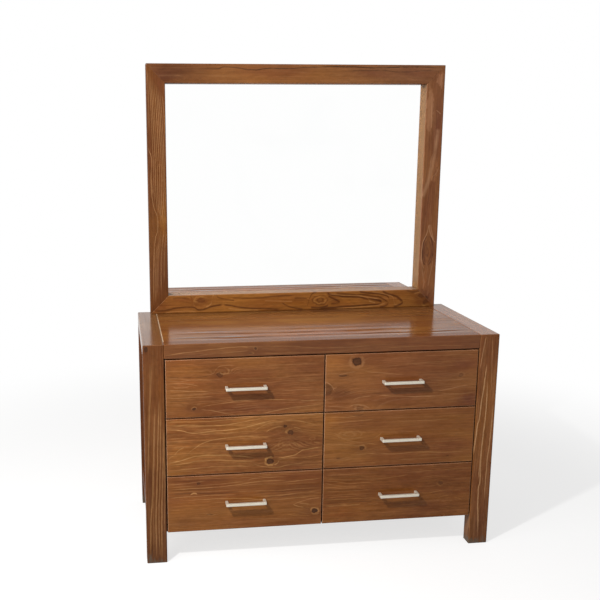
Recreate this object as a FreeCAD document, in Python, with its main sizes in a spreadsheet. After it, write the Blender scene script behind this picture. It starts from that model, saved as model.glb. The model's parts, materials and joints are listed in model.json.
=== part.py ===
"""Dresser with mirror: six drawers in two columns, side frames of mitred timber, and a mirror that stands on the top.

Millimetres, +Z up, X to the right and Y to the back, seen from the front. The origin is on the floor, in the middle
of the whole object's width and depth. Formulas measure X from the middle, Y from the plane of the drawer fronts
and Z from the floor.
"""
import FreeCAD, Part
import Sketcher
import os
import re

doc = FreeCAD.newDocument("dresser_with_mirror")

# Driving dimensions. Each one is written once, here, and goes into the spreadsheet under its own name.
sizes = {
    # the whole dresser
    "width": 1200, "depth": 532, "height": 760, "clear_under": 109,
    # side frames: two legs and the side strip of the top, from one section of timber
    "leg_width": 68, "leg_depth": 42, "edge_round": 3, "foot_chamfer": 2,
    # side panels and the rails that they stand on
    "panel_thickness": 12, "panel_recess": 20, "groove_depth": 8, "panel_clearance": 0.3,
    "side_rail_height": 42, "side_rail_thickness": 64, "side_rail_recess": 4,
    # top
    "front_edge_height": 48, "front_edge_depth": 42, "top_thickness": 22, "seam_bevel": 1.2,
    # frame behind the drawers
    "divider_thickness": 20, "front_rail_depth": 100, "front_rail_height": 20, "low_rail_height": 18, "low_rail_drop": 6,
    "rear_rail_thickness": 22, "rear_rail_height": 60, "back_thickness": 6, "behind_front": 1,
    # drawers
    "gap": 3.5, "front_thickness": 20, "front_round": 2,
    "board_thickness": 14, "box_clearance": 6, "box_rise": 16, "box_headroom": 21.5, "rear_space": 44,
    "bottom_thickness": 6, "bottom_rise": 10, "bottom_groove": 7, "bottom_clearance": 0.2,
    "pin_width": 10, "pin_slope": 6,
    # runners, which the grooves in the drawer sides slide along
    "runner_height": 16, "runner_reach": 8, "runner_clearance": 0.3,
    # handles
    "handle_length": 137, "handle_bar": 9, "handle_reach": 30, "handle_bend": 3, "handle_arris": 0.8,
    "screw_shank": 4, "screw_head": 8, "screw_head_height": 2.6, "screw_grip": 9,
    # mirror
    "mirror_inset": 47, "mirror_height": 908, "frame_face": 68, "frame_thickness": 44,
    "rebate_width": 10, "rebate_depth": 8, "glass_thickness": 4, "backing_thickness": 3, "glass_clearance": 1,
    # battens that carry the mirror
    "batten_width": 60, "batten_thickness": 18, "batten_below": 170, "batten_above": 520,
    "wood_screw": 4.5, "wood_screw_head": 9, "wood_screw_head_height": 2, "wood_screw_bite": 16,
    # holes for all screws: wider than the shank, and deeper than its tip
    "screw_clearance": 0.3, "hole_spare": 1,
}
rows = 3              # drawers in a column
tails = 3             # dovetails at each corner of a drawer box
topBoards = 5         # boards in the top
rodSides = 12         # sides of a screw and of its hole, which are too small to need more

# Sizes that follow from the driving ones.
derived = {
    "front_plane": "(handle_reach - depth - batten_thickness - wood_screw_head_height) / 2",
    "inner_half": "width / 2 - leg_width",
    "under_edge": "height - front_edge_height",
    "under_top": "height - top_thickness",
    "back_face": "depth - rear_rail_thickness - back_thickness",
    "rail_face": "depth - rear_rail_thickness",
    "half_divider": "divider_thickness / 2",
    "panel_face": "width / 2 - panel_recess - panel_thickness",
    "side_rail_top": "clear_under + side_rail_height",
    "rail_plane": "front_thickness + behind_front",
    "row_pitch": f"(under_edge - clear_under) / {rows}",
    "front_height": "row_pitch - gap",
    "front_width": "inner_half - 1.5 * gap",
    "box_width": "inner_half - half_divider - 2 * box_clearance",
    "box_length": "back_face - front_thickness - rear_space",
    "box_height": "front_height - box_rise - box_headroom",
    "box_start": "-inner_half + box_clearance",
    "box_mid": "box_rise + box_height / 2",
    "tail_pitch": f"box_height / {tails}",
    "half_pin_end": "pin_width / 2",
    "half_pin_root": "pin_width / 2 + board_thickness / pin_slope",
    "groove_height": "runner_height + 2 * runner_clearance",
    "groove_reach": "runner_reach + runner_clearance",
    "stop_plane": "leg_depth - 2 * runner_clearance",
    "handle_middle": "-inner_half + gap + front_width / 2",
    "mirror_width": "width - 2 * mirror_inset",
    "mirror_plane": "depth - frame_thickness",
    "glass_plane": "depth - rebate_depth",
    "glass_half": "mirror_width / 2 - frame_face + rebate_width - glass_clearance",
    "glass_low": "height + frame_face - rebate_width + glass_clearance",
    "glass_height": "mirror_height - 2 * frame_face + 2 * rebate_width - 2 * glass_clearance",
    "batten_middle": "-mirror_width / 2 + frame_face / 2",
}

nodes = []            # the sub-parts, in the order in which they are written


def formula(text):
    """Spell a formula out for FreeCAD: derived sizes are opened up, driving ones get the sheet's name."""
    def spell(match):
        word = match.group(0)
        if word in derived:
            return "(" + formula(derived[word]) + ")"
        return "Sizes." + word if word in sizes else word
    return re.sub(r"[a-z][a-z_]*", spell, str(text))


def bind(item, **properties):
    for name, text in properties.items():
        item.setExpression(name, formula(text))


def place(item, x="0", y="0", z="0"):
    """Put an item at x, y, z, where y is measured from the plane of the drawer fronts."""
    for axis, text in (("x", x), ("y", f"front_plane + {y}"), ("z", z)):
        item.setExpression("Placement.Base." + axis, formula(text))


def make_sheet():
    sheet = doc.addObject("Spreadsheet::Sheet", "Sizes")
    for line, (name, value) in enumerate(sizes.items(), start=1):
        sheet.set(f"A{line}", name)
        sheet.set(f"B{line}", str(value))
        sheet.setAlias(f"B{line}", name)
    doc.recompute()
    return sheet


def value(text):
    """The number that a formula stands for."""
    return float(sheet.evalExpression(formula(text)))


def keep(item):
    """Count an item as a sub-part that is written to a file of its own."""
    nodes.append(item)
    return item


# Shapes

def board(label, x, y, z):
    """A square-edged board. x, y and z each hold the start and the size along that axis."""
    block = doc.addObject("Part::Box", label)
    bind(block, Length=x[1], Width=y[1], Height=z[1])
    place(block, x[0], y[0], z[0])
    return block


def rod(label, x, y, z, radius, length):
    """A round bar that points to the back."""
    bar = doc.addObject("Part::Prism", label)
    bar.Polygon = rodSides
    bind(bar, Circumradius=radius, Height=length)
    bar.Placement.Rotation = FreeCAD.Rotation(FreeCAD.Vector(1, 0, 0), -90)
    place(bar, x, y, z)
    return bar


def screw(label, x, seat, z, shank, length, head, head_height):
    """A screw that is driven towards the front until the underside of its head lies on its seat."""
    whole = doc.addObject("Part::Fuse", label)
    whole.Base = rod(f"{label}_shank", x, f"{seat} - {length}", z, f"{shank} / 2", length)
    whole.Tool = rod(f"{label}_head", x, seat, z, f"{head} / 2", head_height)
    return whole


def screw_hole(label, x, seat, z, shank, length):
    """The hole for a screw with that seat, shank and length."""
    return rod(label, x, f"{seat} - {length} - hole_spare", z, f"({shank} + screw_clearance) / 2",
               f"{length} + hole_spare")


def group(label, items):
    pieces = doc.addObject("Part::Compound", label)
    pieces.Links = items
    return pieces


def cut(label, base, *tools):
    """The base without the tools, which are taken away one after the other."""
    for step, tool in enumerate(tools, start=1):
        piece = doc.addObject("Part::Cut", label if step == len(tools) else f"{label}_step_{step}")
        piece.Base = base
        piece.Tool = tool
        base = piece
    return piece


def common(label, base, tool):
    piece = doc.addObject("Part::Common", label)
    piece.Base = base
    piece.Tool = tool
    return piece


def mirrored(label, source):
    """The same piece on the other side of the dresser."""
    twin = doc.addObject("Part::Mirroring", label)
    twin.Source = source
    twin.Normal = FreeCAD.Vector(1, 0, 0)
    return twin


def origin_plane(body, role):
    return next(feature for feature in body.Origin.OriginFeatures if feature.Role == role)


def draw(body, role, loops):
    """A fully constrained sketch of closed loops. Each point's two distances from the origin are formulas."""
    sketch = body.newObject("Sketcher::SketchObject", "Outline")
    sketch.AttachmentSupport = [(origin_plane(body, role), "")]
    sketch.MapMode = "FlatFace"
    lines, rules, distances = [], [], []
    for loop in loops:
        points = [FreeCAD.Vector(value(u), value(v), 0) for u, v in loop]
        first = len(lines)
        count = len(points)
        for i, point in enumerate(points):
            lines.append(Part.LineSegment(point, points[(i + 1) % count]))
            rules.append(Sketcher.Constraint("Coincident", first + i, 2, first + (i + 1) % count, 1))
            distances.append((first + i, "DistanceX", point.x, loop[i][0]))
            distances.append((first + i, "DistanceY", point.y, loop[i][1]))
    sketch.addGeometry(lines, False)
    sketch.addConstraint(rules)
    for line, kind, number, text in distances:
        axis = -2 if kind == "DistanceX" else -1
        if str(text) == "0":
            sketch.addConstraint(Sketcher.Constraint("PointOnObject", line, 1, axis))
        else:
            rule = sketch.addConstraint(Sketcher.Constraint(kind, -1, 1, line, 1, number))
            sketch.setExpression(f"Constraints[{rule}]", formula(text))
    return sketch


def padded(label, role, loops, length, reverse=False):
    """A body made by drawing an outline on one of its own planes and giving it a thickness."""
    body = doc.addObject("PartDesign::Body", label)
    sketch = draw(body, role, loops)
    pad = body.newObject("PartDesign::Pad", "Thickness")
    pad.Profile = sketch
    pad.Reversed = reverse
    bind(pad, Length=length)
    body.Tip = pad
    doc.recompute()
    return body


def rounded(body, kind, radius, test):
    """Round or chamfer the edges of the body's last feature that the test picks by their bounding box."""
    base = body.Tip
    box = base.Shape.BoundBox
    names = [f"Edge{i}" for i, edge in enumerate(base.Shape.Edges, start=1) if test(edge.BoundBox, box)]
    feature = body.newObject("PartDesign::" + kind, "Soft" + kind)
    feature.Base = (base, names)
    bind(feature, **{"Radius" if kind == "Fillet" else "Size": radius})
    body.Tip = feature
    doc.recompute()
    return body


def same(a, b):
    return abs(a - b) < 1e-4


def block_body(label, x, y, z):
    """A board that is to get rounded edges, so it is a body that starts with a block."""
    body = doc.addObject("PartDesign::Body", label)
    block = body.newObject("PartDesign::AdditiveBox", "Block")
    bind(block, Length=x[1], Width=y[1], Height=z[1])
    place(body, x[0], y[0], z[0])
    body.Tip = block
    doc.recompute()
    return body


# Side frames

def side_frame():
    """The left frame is shaped in one piece, an upside-down U, and then parted at its two mitres."""
    leg_inside = "height - leg_depth"
    outline = [("0", "0"), ("leg_depth", "0"), ("leg_depth", leg_inside), ("depth - leg_depth", leg_inside),
               ("depth - leg_depth", "0"), ("depth", "0"), ("depth", "height"), ("0", "height")]
    frame = padded("side_frame", "YZ_Plane", [outline], "leg_width")

    def foot(edge, box):
        return same(edge.ZMax, box.ZMin)

    def outside(edge, box):
        on_front = same(edge.YMax, box.YMin)
        on_back = same(edge.YMin, box.YMax)
        on_top = same(edge.ZMin, box.ZMax)
        return (on_front or on_back or on_top) and not foot(edge, box)

    rounded(frame, "Fillet", "edge_round", outside)
    rounded(frame, "Chamfer", "foot_chamfer", foot)
    place(frame, "-width / 2", "0", "0")

    groove = board("side_groove",
                   ("-panel_face - panel_thickness - panel_clearance", "panel_thickness + 2 * panel_clearance"),
                   ("leg_depth - groove_depth - panel_clearance",
                    "depth - 2 * leg_depth + 2 * groove_depth + 2 * panel_clearance"),
                   ("side_rail_top - groove_depth - panel_clearance",
                    "height - leg_depth - side_rail_top + 2 * groove_depth + 2 * panel_clearance"))
    grooved = cut("side_frame_grooved", frame, groove)

    zones = {
        "front_leg": [("0", "0"), ("leg_depth", "0"), ("leg_depth", leg_inside), ("0", "height")],
        "rear_leg": [("depth - leg_depth", "0"), ("depth", "0"), ("depth", "height"),
                     ("depth - leg_depth", leg_inside)],
        "top_rail": [("0", "height"), ("leg_depth", leg_inside), ("depth - leg_depth", leg_inside),
                     ("depth", "height")],
    }
    for name, zone_outline in zones.items():
        zone = padded("zone_" + name, "YZ_Plane", [zone_outline], "leg_width")
        place(zone, "-width / 2", "0", "0")
        left = keep(common("left_" + name, grooved, zone))
        keep(mirrored("right_" + name, left))
    return groove


def side_panels(groove):
    left = keep(board("left_side_panel",
                      ("-panel_face - panel_thickness", "panel_thickness"),
                      ("leg_depth - groove_depth", "depth - 2 * leg_depth + 2 * groove_depth"),
                      ("side_rail_top - groove_depth",
                       "height - leg_depth - side_rail_top + 2 * groove_depth")))
    keep(mirrored("right_side_panel", left))
    rail = board("side_rail_blank",
                 ("-width / 2 + side_rail_recess", "side_rail_thickness"),
                 ("leg_depth", "depth - 2 * leg_depth"),
                 ("clear_under", "side_rail_height"))
    grooved = cut("side_rail", rail, groove)
    keep(group("side_bottom_rails", [grooved, mirrored("side_rail_twin", grooved)]))


# Top

def top():
    """A thick front edge, and boards edge to edge behind it, between the two side strips."""
    edge = keep(block_body("top_front_edge", ("-inner_half", "2 * inner_half"), ("0", "front_edge_depth"),
                           ("under_edge", "front_edge_height")))
    rounded(edge, "Fillet", "edge_round", lambda e, box: same(e.YMax, box.YMin) and same(e.ZMin, e.ZMax))
    rounded(edge, "Chamfer", "seam_bevel",
            lambda e, box: same(e.ZMin, box.ZMax) and same(e.XMin, e.XMax) and e.YLength > 1)
    boards = []
    board_depth = f"(depth - front_edge_depth) / {topBoards}"
    for i in range(topBoards):
        strip = block_body(f"top_board_{i + 1}", ("-inner_half", "2 * inner_half"),
                           (f"front_edge_depth + {i} * {board_depth}", board_depth),
                           ("under_top", "top_thickness"))
        rounded(strip, "Chamfer", "seam_bevel", lambda e, box: same(e.ZMin, box.ZMax) and same(e.XMin, e.XMax))
        boards.append(strip)
    keep(group("top_boards", boards))


# Frame behind the drawers

def inner_frame():
    """Divider, rails and back."""
    notch = [("rail_plane", "clear_under"), ("back_face", "clear_under"), ("back_face", "under_top"),
             ("front_edge_depth", "under_top"), ("front_edge_depth", "under_edge"), ("rail_plane", "under_edge")]
    divider = padded("divider_blank", "YZ_Plane", [notch], "divider_thickness")
    place(divider, "-half_divider", "0", "0")

    rails = []
    for row in range(rows):
        if row == rows - 1:
            low, tall = "clear_under - low_rail_drop", "low_rail_height"
        else:
            low = f"under_edge - {row + 1} * row_pitch - gap / 2 - front_rail_height / 2"
            tall = "front_rail_height"
        left = board(f"front_rail_{row + 1}", ("-inner_half", "inner_half - half_divider"),
                     ("rail_plane", "front_rail_depth"), (low, tall))
        rails += [left, mirrored(f"front_rail_{row + 1}_twin", left)]
    keep(divider).Label = "centre_divider"
    keep(group("front_rails", rails))

    across = ("-inner_half", "2 * inner_half")
    thick = ("rail_face", "rear_rail_thickness")
    upper = board("rear_rail_upper", across, thick, ("under_top - rear_rail_height", "rear_rail_height"))
    lower = board("rear_rail_lower", across, thick, ("clear_under", "rear_rail_height"))
    keep(board("back_panel", across, ("back_face", "back_thickness"), ("clear_under", "under_top - clear_under")))
    return upper, lower


def row_floor(row):
    """Height of the lower edge of the fronts in a row, counted from the top."""
    return f"(under_edge - {row + 1} * row_pitch)"


def runners():
    """One pair a drawer: a thick one between the legs, beside the panel, and a thin one on the divider."""
    strips = []
    for row in range(rows):
        height = (f"{row_floor(row)} + box_mid - runner_height / 2", "runner_height")
        outer = board(f"runner_outer_{row + 1}",
                      ("-panel_face", "panel_face - inner_half + box_clearance + runner_reach"),
                      ("leg_depth", "depth - 2 * leg_depth"), height)
        inner = board(f"runner_inner_{row + 1}",
                      ("-half_divider - box_clearance - runner_reach", "box_clearance + runner_reach"),
                      ("leg_depth", "back_face - leg_depth"), height)
        strips += [outer, inner]
    strips += [mirrored(strip.Label + "_twin", strip) for strip in strips]
    keep(group("drawer_runners", strips))


# Drawers

def side_outline():
    """The face of a drawer side: a rectangle whose two ends are cut into dovetails that widen outwards."""
    def tail(i, root, end):
        lower, upper = f"{i} * tail_pitch", f"{i + 1} * tail_pitch"
        return [(root, f"{lower} + half_pin_root"), (end, f"{lower} + half_pin_end"),
                (end, f"{upper} - half_pin_end"), (root, f"{upper} - half_pin_root")]

    rear_root = "box_length - board_thickness"
    outline = [("board_thickness", "0"), (rear_root, "0")]
    for i in range(tails):
        outline += tail(i, rear_root, "box_length")
    outline += [(rear_root, "box_height"), ("board_thickness", "box_height")]
    for i in reversed(range(tails)):
        outline += reversed(tail(i, "board_thickness", "0"))
    return outline


def handle(name, middle_height):
    """A square bar whose two ends are bent back to the front, with a hole for a screw in each foot."""
    far = "handle_length"
    outline = [("0", "0"), (far, "0"), (far, "handle_reach"), (f"{far} - handle_bar", "handle_reach"),
               (f"{far} - handle_bar", "handle_bar"), ("handle_bar", "handle_bar"),
               ("handle_bar", "handle_reach"), ("0", "handle_reach")]
    bar = padded(name + "_bar", "XY_Plane", [outline], "handle_bar")

    def bend(edge, box):
        upright = same(edge.XMin, edge.XMax) and same(edge.YMin, edge.YMax)
        return upright and same(edge.YMin, box.YMin)

    def arris(edge, box):
        flat = same(edge.ZMin, edge.ZMax)
        return flat and not same(edge.YMin, box.YMax)

    rounded(bar, "Fillet", "handle_bend", bend)
    rounded(bar, "Chamfer", "handle_arris", arris)
    place(bar, "handle_middle - handle_length / 2", "-handle_reach", f"{middle_height} - handle_bar / 2")
    return bar


def drawer(row, place_name):
    """The drawers of one row: the left one is built, and the right one is its mirror image."""
    name = f"{place_name}_left_drawer"
    floor = row_floor(row)
    base = f"{floor} + box_rise"
    wide = ("box_start", "box_width")
    tall = (base, "box_height")

    # boards of the box, before grooves: two dovetailed sides, and two ends cut to fit between the tails
    sides = []
    for hand, start in (("near", "box_start"), ("far", "box_start + box_width - board_thickness")):
        side = padded(f"{name}_{hand}_side", "YZ_Plane", [side_outline()], "board_thickness")
        place(side, start, "front_thickness", base)
        sides.append(side)
    side_boards = group(f"{name}_side_boards", sides)
    ends = [board(f"{name}_box_front", wide, ("front_thickness", "board_thickness"), tall),
            board(f"{name}_box_back", wide, ("front_thickness + box_length - board_thickness", "board_thickness"),
                  tall)]

    # the thin bottom sits in a groove round the inside of all four boards
    inset = "board_thickness - bottom_groove"
    bottom = board(f"{name}_bottom",
                   (f"box_start + {inset} + bottom_clearance", f"box_width - 2 * ({inset} + bottom_clearance)"),
                   (f"front_thickness + {inset} + bottom_clearance",
                    f"box_length - 2 * ({inset} + bottom_clearance)"),
                   (f"{base} + bottom_rise", "bottom_thickness"))
    bottom_cutter = board(f"{name}_bottom_groove",
                          (f"box_start + {inset}", f"box_width - 2 * ({inset})"),
                          (f"front_thickness + {inset}", f"box_length - 2 * ({inset})"),
                          (f"{base} + bottom_rise", "bottom_thickness + bottom_clearance"))

    # a groove in each side for its runner, open at the back and stopped behind the box front
    run = ("stop_plane", "front_thickness + box_length - stop_plane")
    level = (f"{floor} + box_mid - groove_height / 2", "groove_height")
    run_cutters = [board(f"{name}_near_run", ("box_start", "groove_reach"), run, level),
                   board(f"{name}_far_run", ("box_start + box_width - groove_reach", "groove_reach"), run, level)]

    # handle, its screws, and the holes that the screws pass through
    middle = f"{floor} + front_height / 2"
    screws, holes = [], []
    seat = "(front_thickness + board_thickness)"
    length = "(front_thickness + board_thickness + screw_grip)"
    for hand, side in (("near", "-"), ("far", "+")):
        across = f"handle_middle {side} (handle_length - handle_bar) / 2"
        screws.append(screw(f"{name}_{hand}_screw", across, seat, middle, "screw_shank", length,
                            "screw_head", "screw_head_height"))
        holes.append(screw_hole(f"{name}_{hand}_hole", across, seat, middle, "screw_shank", length))
    hole_pair = group(f"{name}_holes", holes)

    front = block_body(f"{name}_front_blank", ("-inner_half + gap", "front_width"), ("0", "front_thickness"),
                       (floor, "front_height"))
    rounded(front, "Fillet", "front_round", lambda edge, box: same(edge.YMax, box.YMin))

    pieces = {
        "front": cut(f"{name}_front", front, hole_pair),
        "sides": cut(f"{name}_sides", side_boards, bottom_cutter, *run_cutters),
        "ends": cut(f"{name}_ends", group(f"{name}_end_boards", ends), side_boards, bottom_cutter, hole_pair),
        "bottom": bottom,
        "handle": cut(f"{name}_handle", handle(name, middle), hole_pair),
        "handle_screws": group(f"{name}_handle_screws", screws),
    }
    for piece_name, piece in pieces.items():
        keep(piece)
        keep(mirrored(f"{place_name}_right_drawer_{piece_name}", piece))


# Mirror

def mirror_frame(holes):
    """The frame is shaped as one ring and then parted at its four mitres."""
    left, right = "frame_face", "mirror_width - frame_face"
    low, high = "frame_face", "mirror_height - frame_face"
    outer = [("0", "0"), ("mirror_width", "0"), ("mirror_width", "mirror_height"), ("0", "mirror_height")]
    inner = [(left, low), (right, low), (right, high), (left, high)]
    ring = padded("mirror_ring", "XZ_Plane", [outer, inner], "frame_thickness", reverse=True)

    def soft(edge, box):
        on_front = same(edge.YMax, box.YMin)
        at_side = same(edge.XMin, box.XMin) or same(edge.XMax, box.XMax)
        outer_corner = at_side and edge.YLength > 1 and same(edge.ZMax, box.ZMax)
        return on_front or outer_corner

    rounded(ring, "Fillet", "edge_round", soft)
    place(ring, "-mirror_width / 2", "mirror_plane", "height")
    rebate = board("mirror_rebate",
                   ("-mirror_width / 2 + frame_face - rebate_width",
                    "mirror_width - 2 * frame_face + 2 * rebate_width"),
                   ("glass_plane", "rebate_depth"),
                   ("height + frame_face - rebate_width", "mirror_height - 2 * frame_face + 2 * rebate_width"))
    rebated = cut("mirror_ring_rebated", ring, rebate)

    zones = {
        "mirror_left_stile": [("0", "0"), (left, low), (left, high), ("0", "mirror_height")],
        "mirror_bottom_rail": [("0", "0"), ("mirror_width", "0"), (right, low), (left, low)],
        "mirror_top_rail": [("0", "mirror_height"), (left, high), (right, high), ("mirror_width", "mirror_height")],
    }
    for label, zone_outline in zones.items():
        zone = padded("zone_" + label, "XZ_Plane", [zone_outline], "frame_thickness", reverse=True)
        place(zone, "-mirror_width / 2", "mirror_plane", "height")
        if label == "mirror_left_stile":
            whole = common("mirror_stile_blank", rebated, zone)
            stile = keep(cut(label, whole, holes))
            keep(mirrored("mirror_right_stile", stile))
        else:
            keep(common(label, rebated, zone))

    across = ("-glass_half", "2 * glass_half")
    upright = ("glass_low", "glass_height")
    keep(board("mirror_glass", across, ("glass_plane", "glass_thickness"), upright))
    keep(board("mirror_backing", across, ("glass_plane + glass_thickness", "backing_thickness"), upright))


def mirror_screws():
    """Screws through a batten: two into the rear rail, and two into the stile."""
    screws, holes = [], []
    levels = ["under_top - rear_rail_height / 4", "under_top - 3 * rear_rail_height / 4",
              "height + 2 * frame_face", "height + batten_above - frame_face / 2"]
    seat = "(depth + batten_thickness)"
    length = "(batten_thickness + wood_screw_bite)"
    for i, level in enumerate(levels, start=1):
        screws.append(screw(f"mirror_screw_{i}", "batten_middle", seat, level, "wood_screw", length,
                            "wood_screw_head", "wood_screw_head_height"))
        holes.append(screw_hole(f"mirror_screw_hole_{i}", "batten_middle", seat, level, "wood_screw", length))
    return screws, group("mirror_screw_holes", holes)


def battens(holes):
    blank = board("batten_blank", ("batten_middle - batten_width / 2", "batten_width"),
                  ("depth", "batten_thickness"),
                  ("height - batten_below", "batten_below + batten_above"))
    batten = cut("batten", blank, holes)
    keep(group("mirror_battens", [batten, mirrored("batten_twin", batten)]))


# Building and writing

def check():
    """A recompute can leave a failed object behind without an error, so every object is asked."""
    faults = [item.Label for item in doc.Objects if {"Invalid", "Error"} & set(item.State)]
    faults += [item.Label for item in nodes if item.Shape.isNull() or not item.Shape.isValid()]
    if faults:
        raise RuntimeError("failed objects: " + ", ".join(faults))


def write():
    os.makedirs("parts", exist_ok=True)
    for item in nodes:
        item.Shape.exportStep(f"parts/{item.Label}.step")
        print(f"{item.Label}: {len(item.Shape.Solids)} solid(s)")
    print(len(nodes), "sub-parts")


sheet = make_sheet()
side_panels(side_frame())
top()
upper_rail, lower_rail = inner_frame()
runners()
for row_index, row_name in enumerate(("upper", "middle", "lower")):
    drawer(row_index, row_name)
screw_items, screw_holes = mirror_screws()
mirror_frame(screw_holes)
battens(screw_holes)
screw_items += [mirrored(item.Label + "_twin", item) for item in screw_items]
keep(group("mirror_screws", screw_items))
holes_twin = mirrored("mirror_screw_holes_twin", screw_holes)
keep(group("rear_rails", [cut("rear_rail_drilled", upper_rail, screw_holes, holes_twin), lower_rail]))
doc.recompute()
check()
write()
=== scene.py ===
import json
import math
import bmesh
import bpy
from mathutils import Matrix, Vector

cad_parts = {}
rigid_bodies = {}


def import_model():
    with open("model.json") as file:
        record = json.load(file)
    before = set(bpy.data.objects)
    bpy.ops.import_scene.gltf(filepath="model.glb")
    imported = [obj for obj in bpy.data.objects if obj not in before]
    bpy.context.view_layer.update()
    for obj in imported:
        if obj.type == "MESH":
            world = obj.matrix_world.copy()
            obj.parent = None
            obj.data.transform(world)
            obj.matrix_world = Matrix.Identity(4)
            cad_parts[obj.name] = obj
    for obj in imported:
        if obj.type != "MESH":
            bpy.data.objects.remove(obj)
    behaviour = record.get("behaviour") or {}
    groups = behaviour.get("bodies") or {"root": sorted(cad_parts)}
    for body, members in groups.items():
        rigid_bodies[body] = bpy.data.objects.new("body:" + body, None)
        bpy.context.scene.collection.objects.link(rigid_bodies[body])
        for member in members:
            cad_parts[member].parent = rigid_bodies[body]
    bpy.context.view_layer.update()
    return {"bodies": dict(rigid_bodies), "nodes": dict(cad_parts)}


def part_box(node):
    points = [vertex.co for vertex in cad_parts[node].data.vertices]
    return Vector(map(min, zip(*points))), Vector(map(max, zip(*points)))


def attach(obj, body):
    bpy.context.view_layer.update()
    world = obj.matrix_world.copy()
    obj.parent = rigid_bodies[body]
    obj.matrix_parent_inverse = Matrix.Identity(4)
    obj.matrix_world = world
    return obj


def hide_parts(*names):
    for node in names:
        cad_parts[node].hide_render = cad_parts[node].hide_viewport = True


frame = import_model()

scene = bpy.context.scene
scene.view_settings.view_transform = "Standard"


class Finish:
    # one value of a finish; a sum written with it adds its Math nodes
    def __init__(self, tree, socket=None):
        self.tree = tree
        self.socket = socket

    def __getitem__(self, output):
        return Finish(self.tree, self.socket.node.outputs[output])

    def node(self, kind, settings=None, sockets=None, output=0):
        made = self.tree.nodes.new("ShaderNode" + kind)
        for name, setting in (settings or {}).items():
            if name == "stops":
                setStops(made.color_ramp.elements, setting)
            elif name == "bends":
                setBends(made.mapping, setting)
            else:
                setattr(made, name, setting)
        for place, value in (sockets or {}).items():
            if isinstance(value, Finish):
                self.tree.links.new(value.socket, made.inputs[place])
            else:
                made.inputs[place].default_value = value
        return Finish(self.tree, made.outputs[output]) if made.outputs else None

    def maths(self, operation, *values):
        return self.node("Math", {"operation": operation}, dict(enumerate(values)))

    def vectors(self, operation, other=(0.0, 0.0, 0.0), output=0):
        return self.node("VectorMath", {"operation": operation}, {0: self, 1: other}, output)

    def between(self, low, high):
        return self.node("MapRange", {"interpolation_type": "SMOOTHSTEP"},
                         {"Value": self, "From Min": low, "From Max": high})

    def ramp(self, *stops):
        return self.node("ValToRGB", {"stops": stops}, {0: self})

    def clouds(self, stretch, detail=2.0, distortion=0.0):
        spread = self.vectors("MULTIPLY", stretch)
        return self.node("TexNoise", sockets={"Vector": spread, "Scale": 1.0, "Detail": detail,
                                              "Distortion": distortion}, output="Fac")

    def mix(self, share, first, second, kind="MIX"):
        ends = [(*end, 1.0) if isinstance(end, tuple) else end for end in (first, second)]
        return self.node("Mix", {"data_type": "RGBA", "blend_type": kind},
                         {0: share, 6: ends[0], 7: ends[1]}, 2)

    def toward(self, share, other, kind="MIX"):
        return self.mix(share, self, other, kind)

    def bumped(self, strength, depth, under=None):
        return self.node("Bump", sockets={"Strength": strength, "Distance": depth, "Height": self,
                                          **({"Normal": under} if under else {})})

    def __add__(self, other):
        return self.maths("ADD", self, other)

    def __radd__(self, other):
        return self.maths("ADD", other, self)

    def __sub__(self, other):
        return self.maths("SUBTRACT", self, other)

    def __rsub__(self, other):
        return self.maths("SUBTRACT", other, self)

    def __mul__(self, other):
        return self.maths("MULTIPLY", self, other)

    def __rmul__(self, other):
        return self.maths("MULTIPLY", other, self)

    def __truediv__(self, other):
        return self.maths("DIVIDE", self, other)

    def __pow__(self, other):
        return self.maths("POWER", self, other)


def setStops(elements, stops):
    while len(elements) > 1:
        elements.remove(elements[-1])
    for number, (place, shade) in enumerate(stops):
        stop = elements.new(place) if number else elements[0]
        stop.position = place
        stop.color = (shade, shade, shade, 1.0)


def setBends(mapping, bends):
    line = mapping.curves[0]
    while len(line.points) < len(bends):
        line.points.new(0.5, 0.5)
    for spot, place in zip(line.points, bends):
        spot.location = place
    mapping.update()


def newFinish(name):
    material = bpy.data.materials.new(name)
    material.use_nodes = True
    material.node_tree.nodes.clear()
    return material, Finish(material.node_tree)


def surface(finish, sockets):
    shader = finish.node("BsdfPrincipled", sockets=sockets)
    finish.node("OutputMaterial", sockets={"Surface": shader})


def objectAxes(finish):
    split = finish.node("SeparateXYZ", sockets={0: finish.node("TexCoord", output="Object")})
    return {"x": split["X"], "y": split["Y"], "z": split["Z"]}


def turnedTo(finish, axis):
    # 1 where a face looks along the axis, 0 where it runs beside it
    along = tuple(1.0 if name == axis else 0.0 for name in "xyz")
    facing = finish.node("TexCoord", output="Normal")
    return finish.maths("ABSOLUTE", facing.vectors("DOT_PRODUCT", along, "Value"))


def seenRays(finish):
    # rays that show a thing, straight or in a mirror, but don't light it
    path = finish.node("LightPath")
    return finish.maths("MAXIMUM", path["Is Camera Ray"],
                        finish.maths("MAXIMUM", path["Is Glossy Ray"], path["Is Transmission Ray"]))


def tinted(shade, tint):
    return tuple(part * share for part, share in zip(shade, tint))


def dress(node, material):
    for place in frame["nodes"][node].material_slots:
        place.material = material


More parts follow.
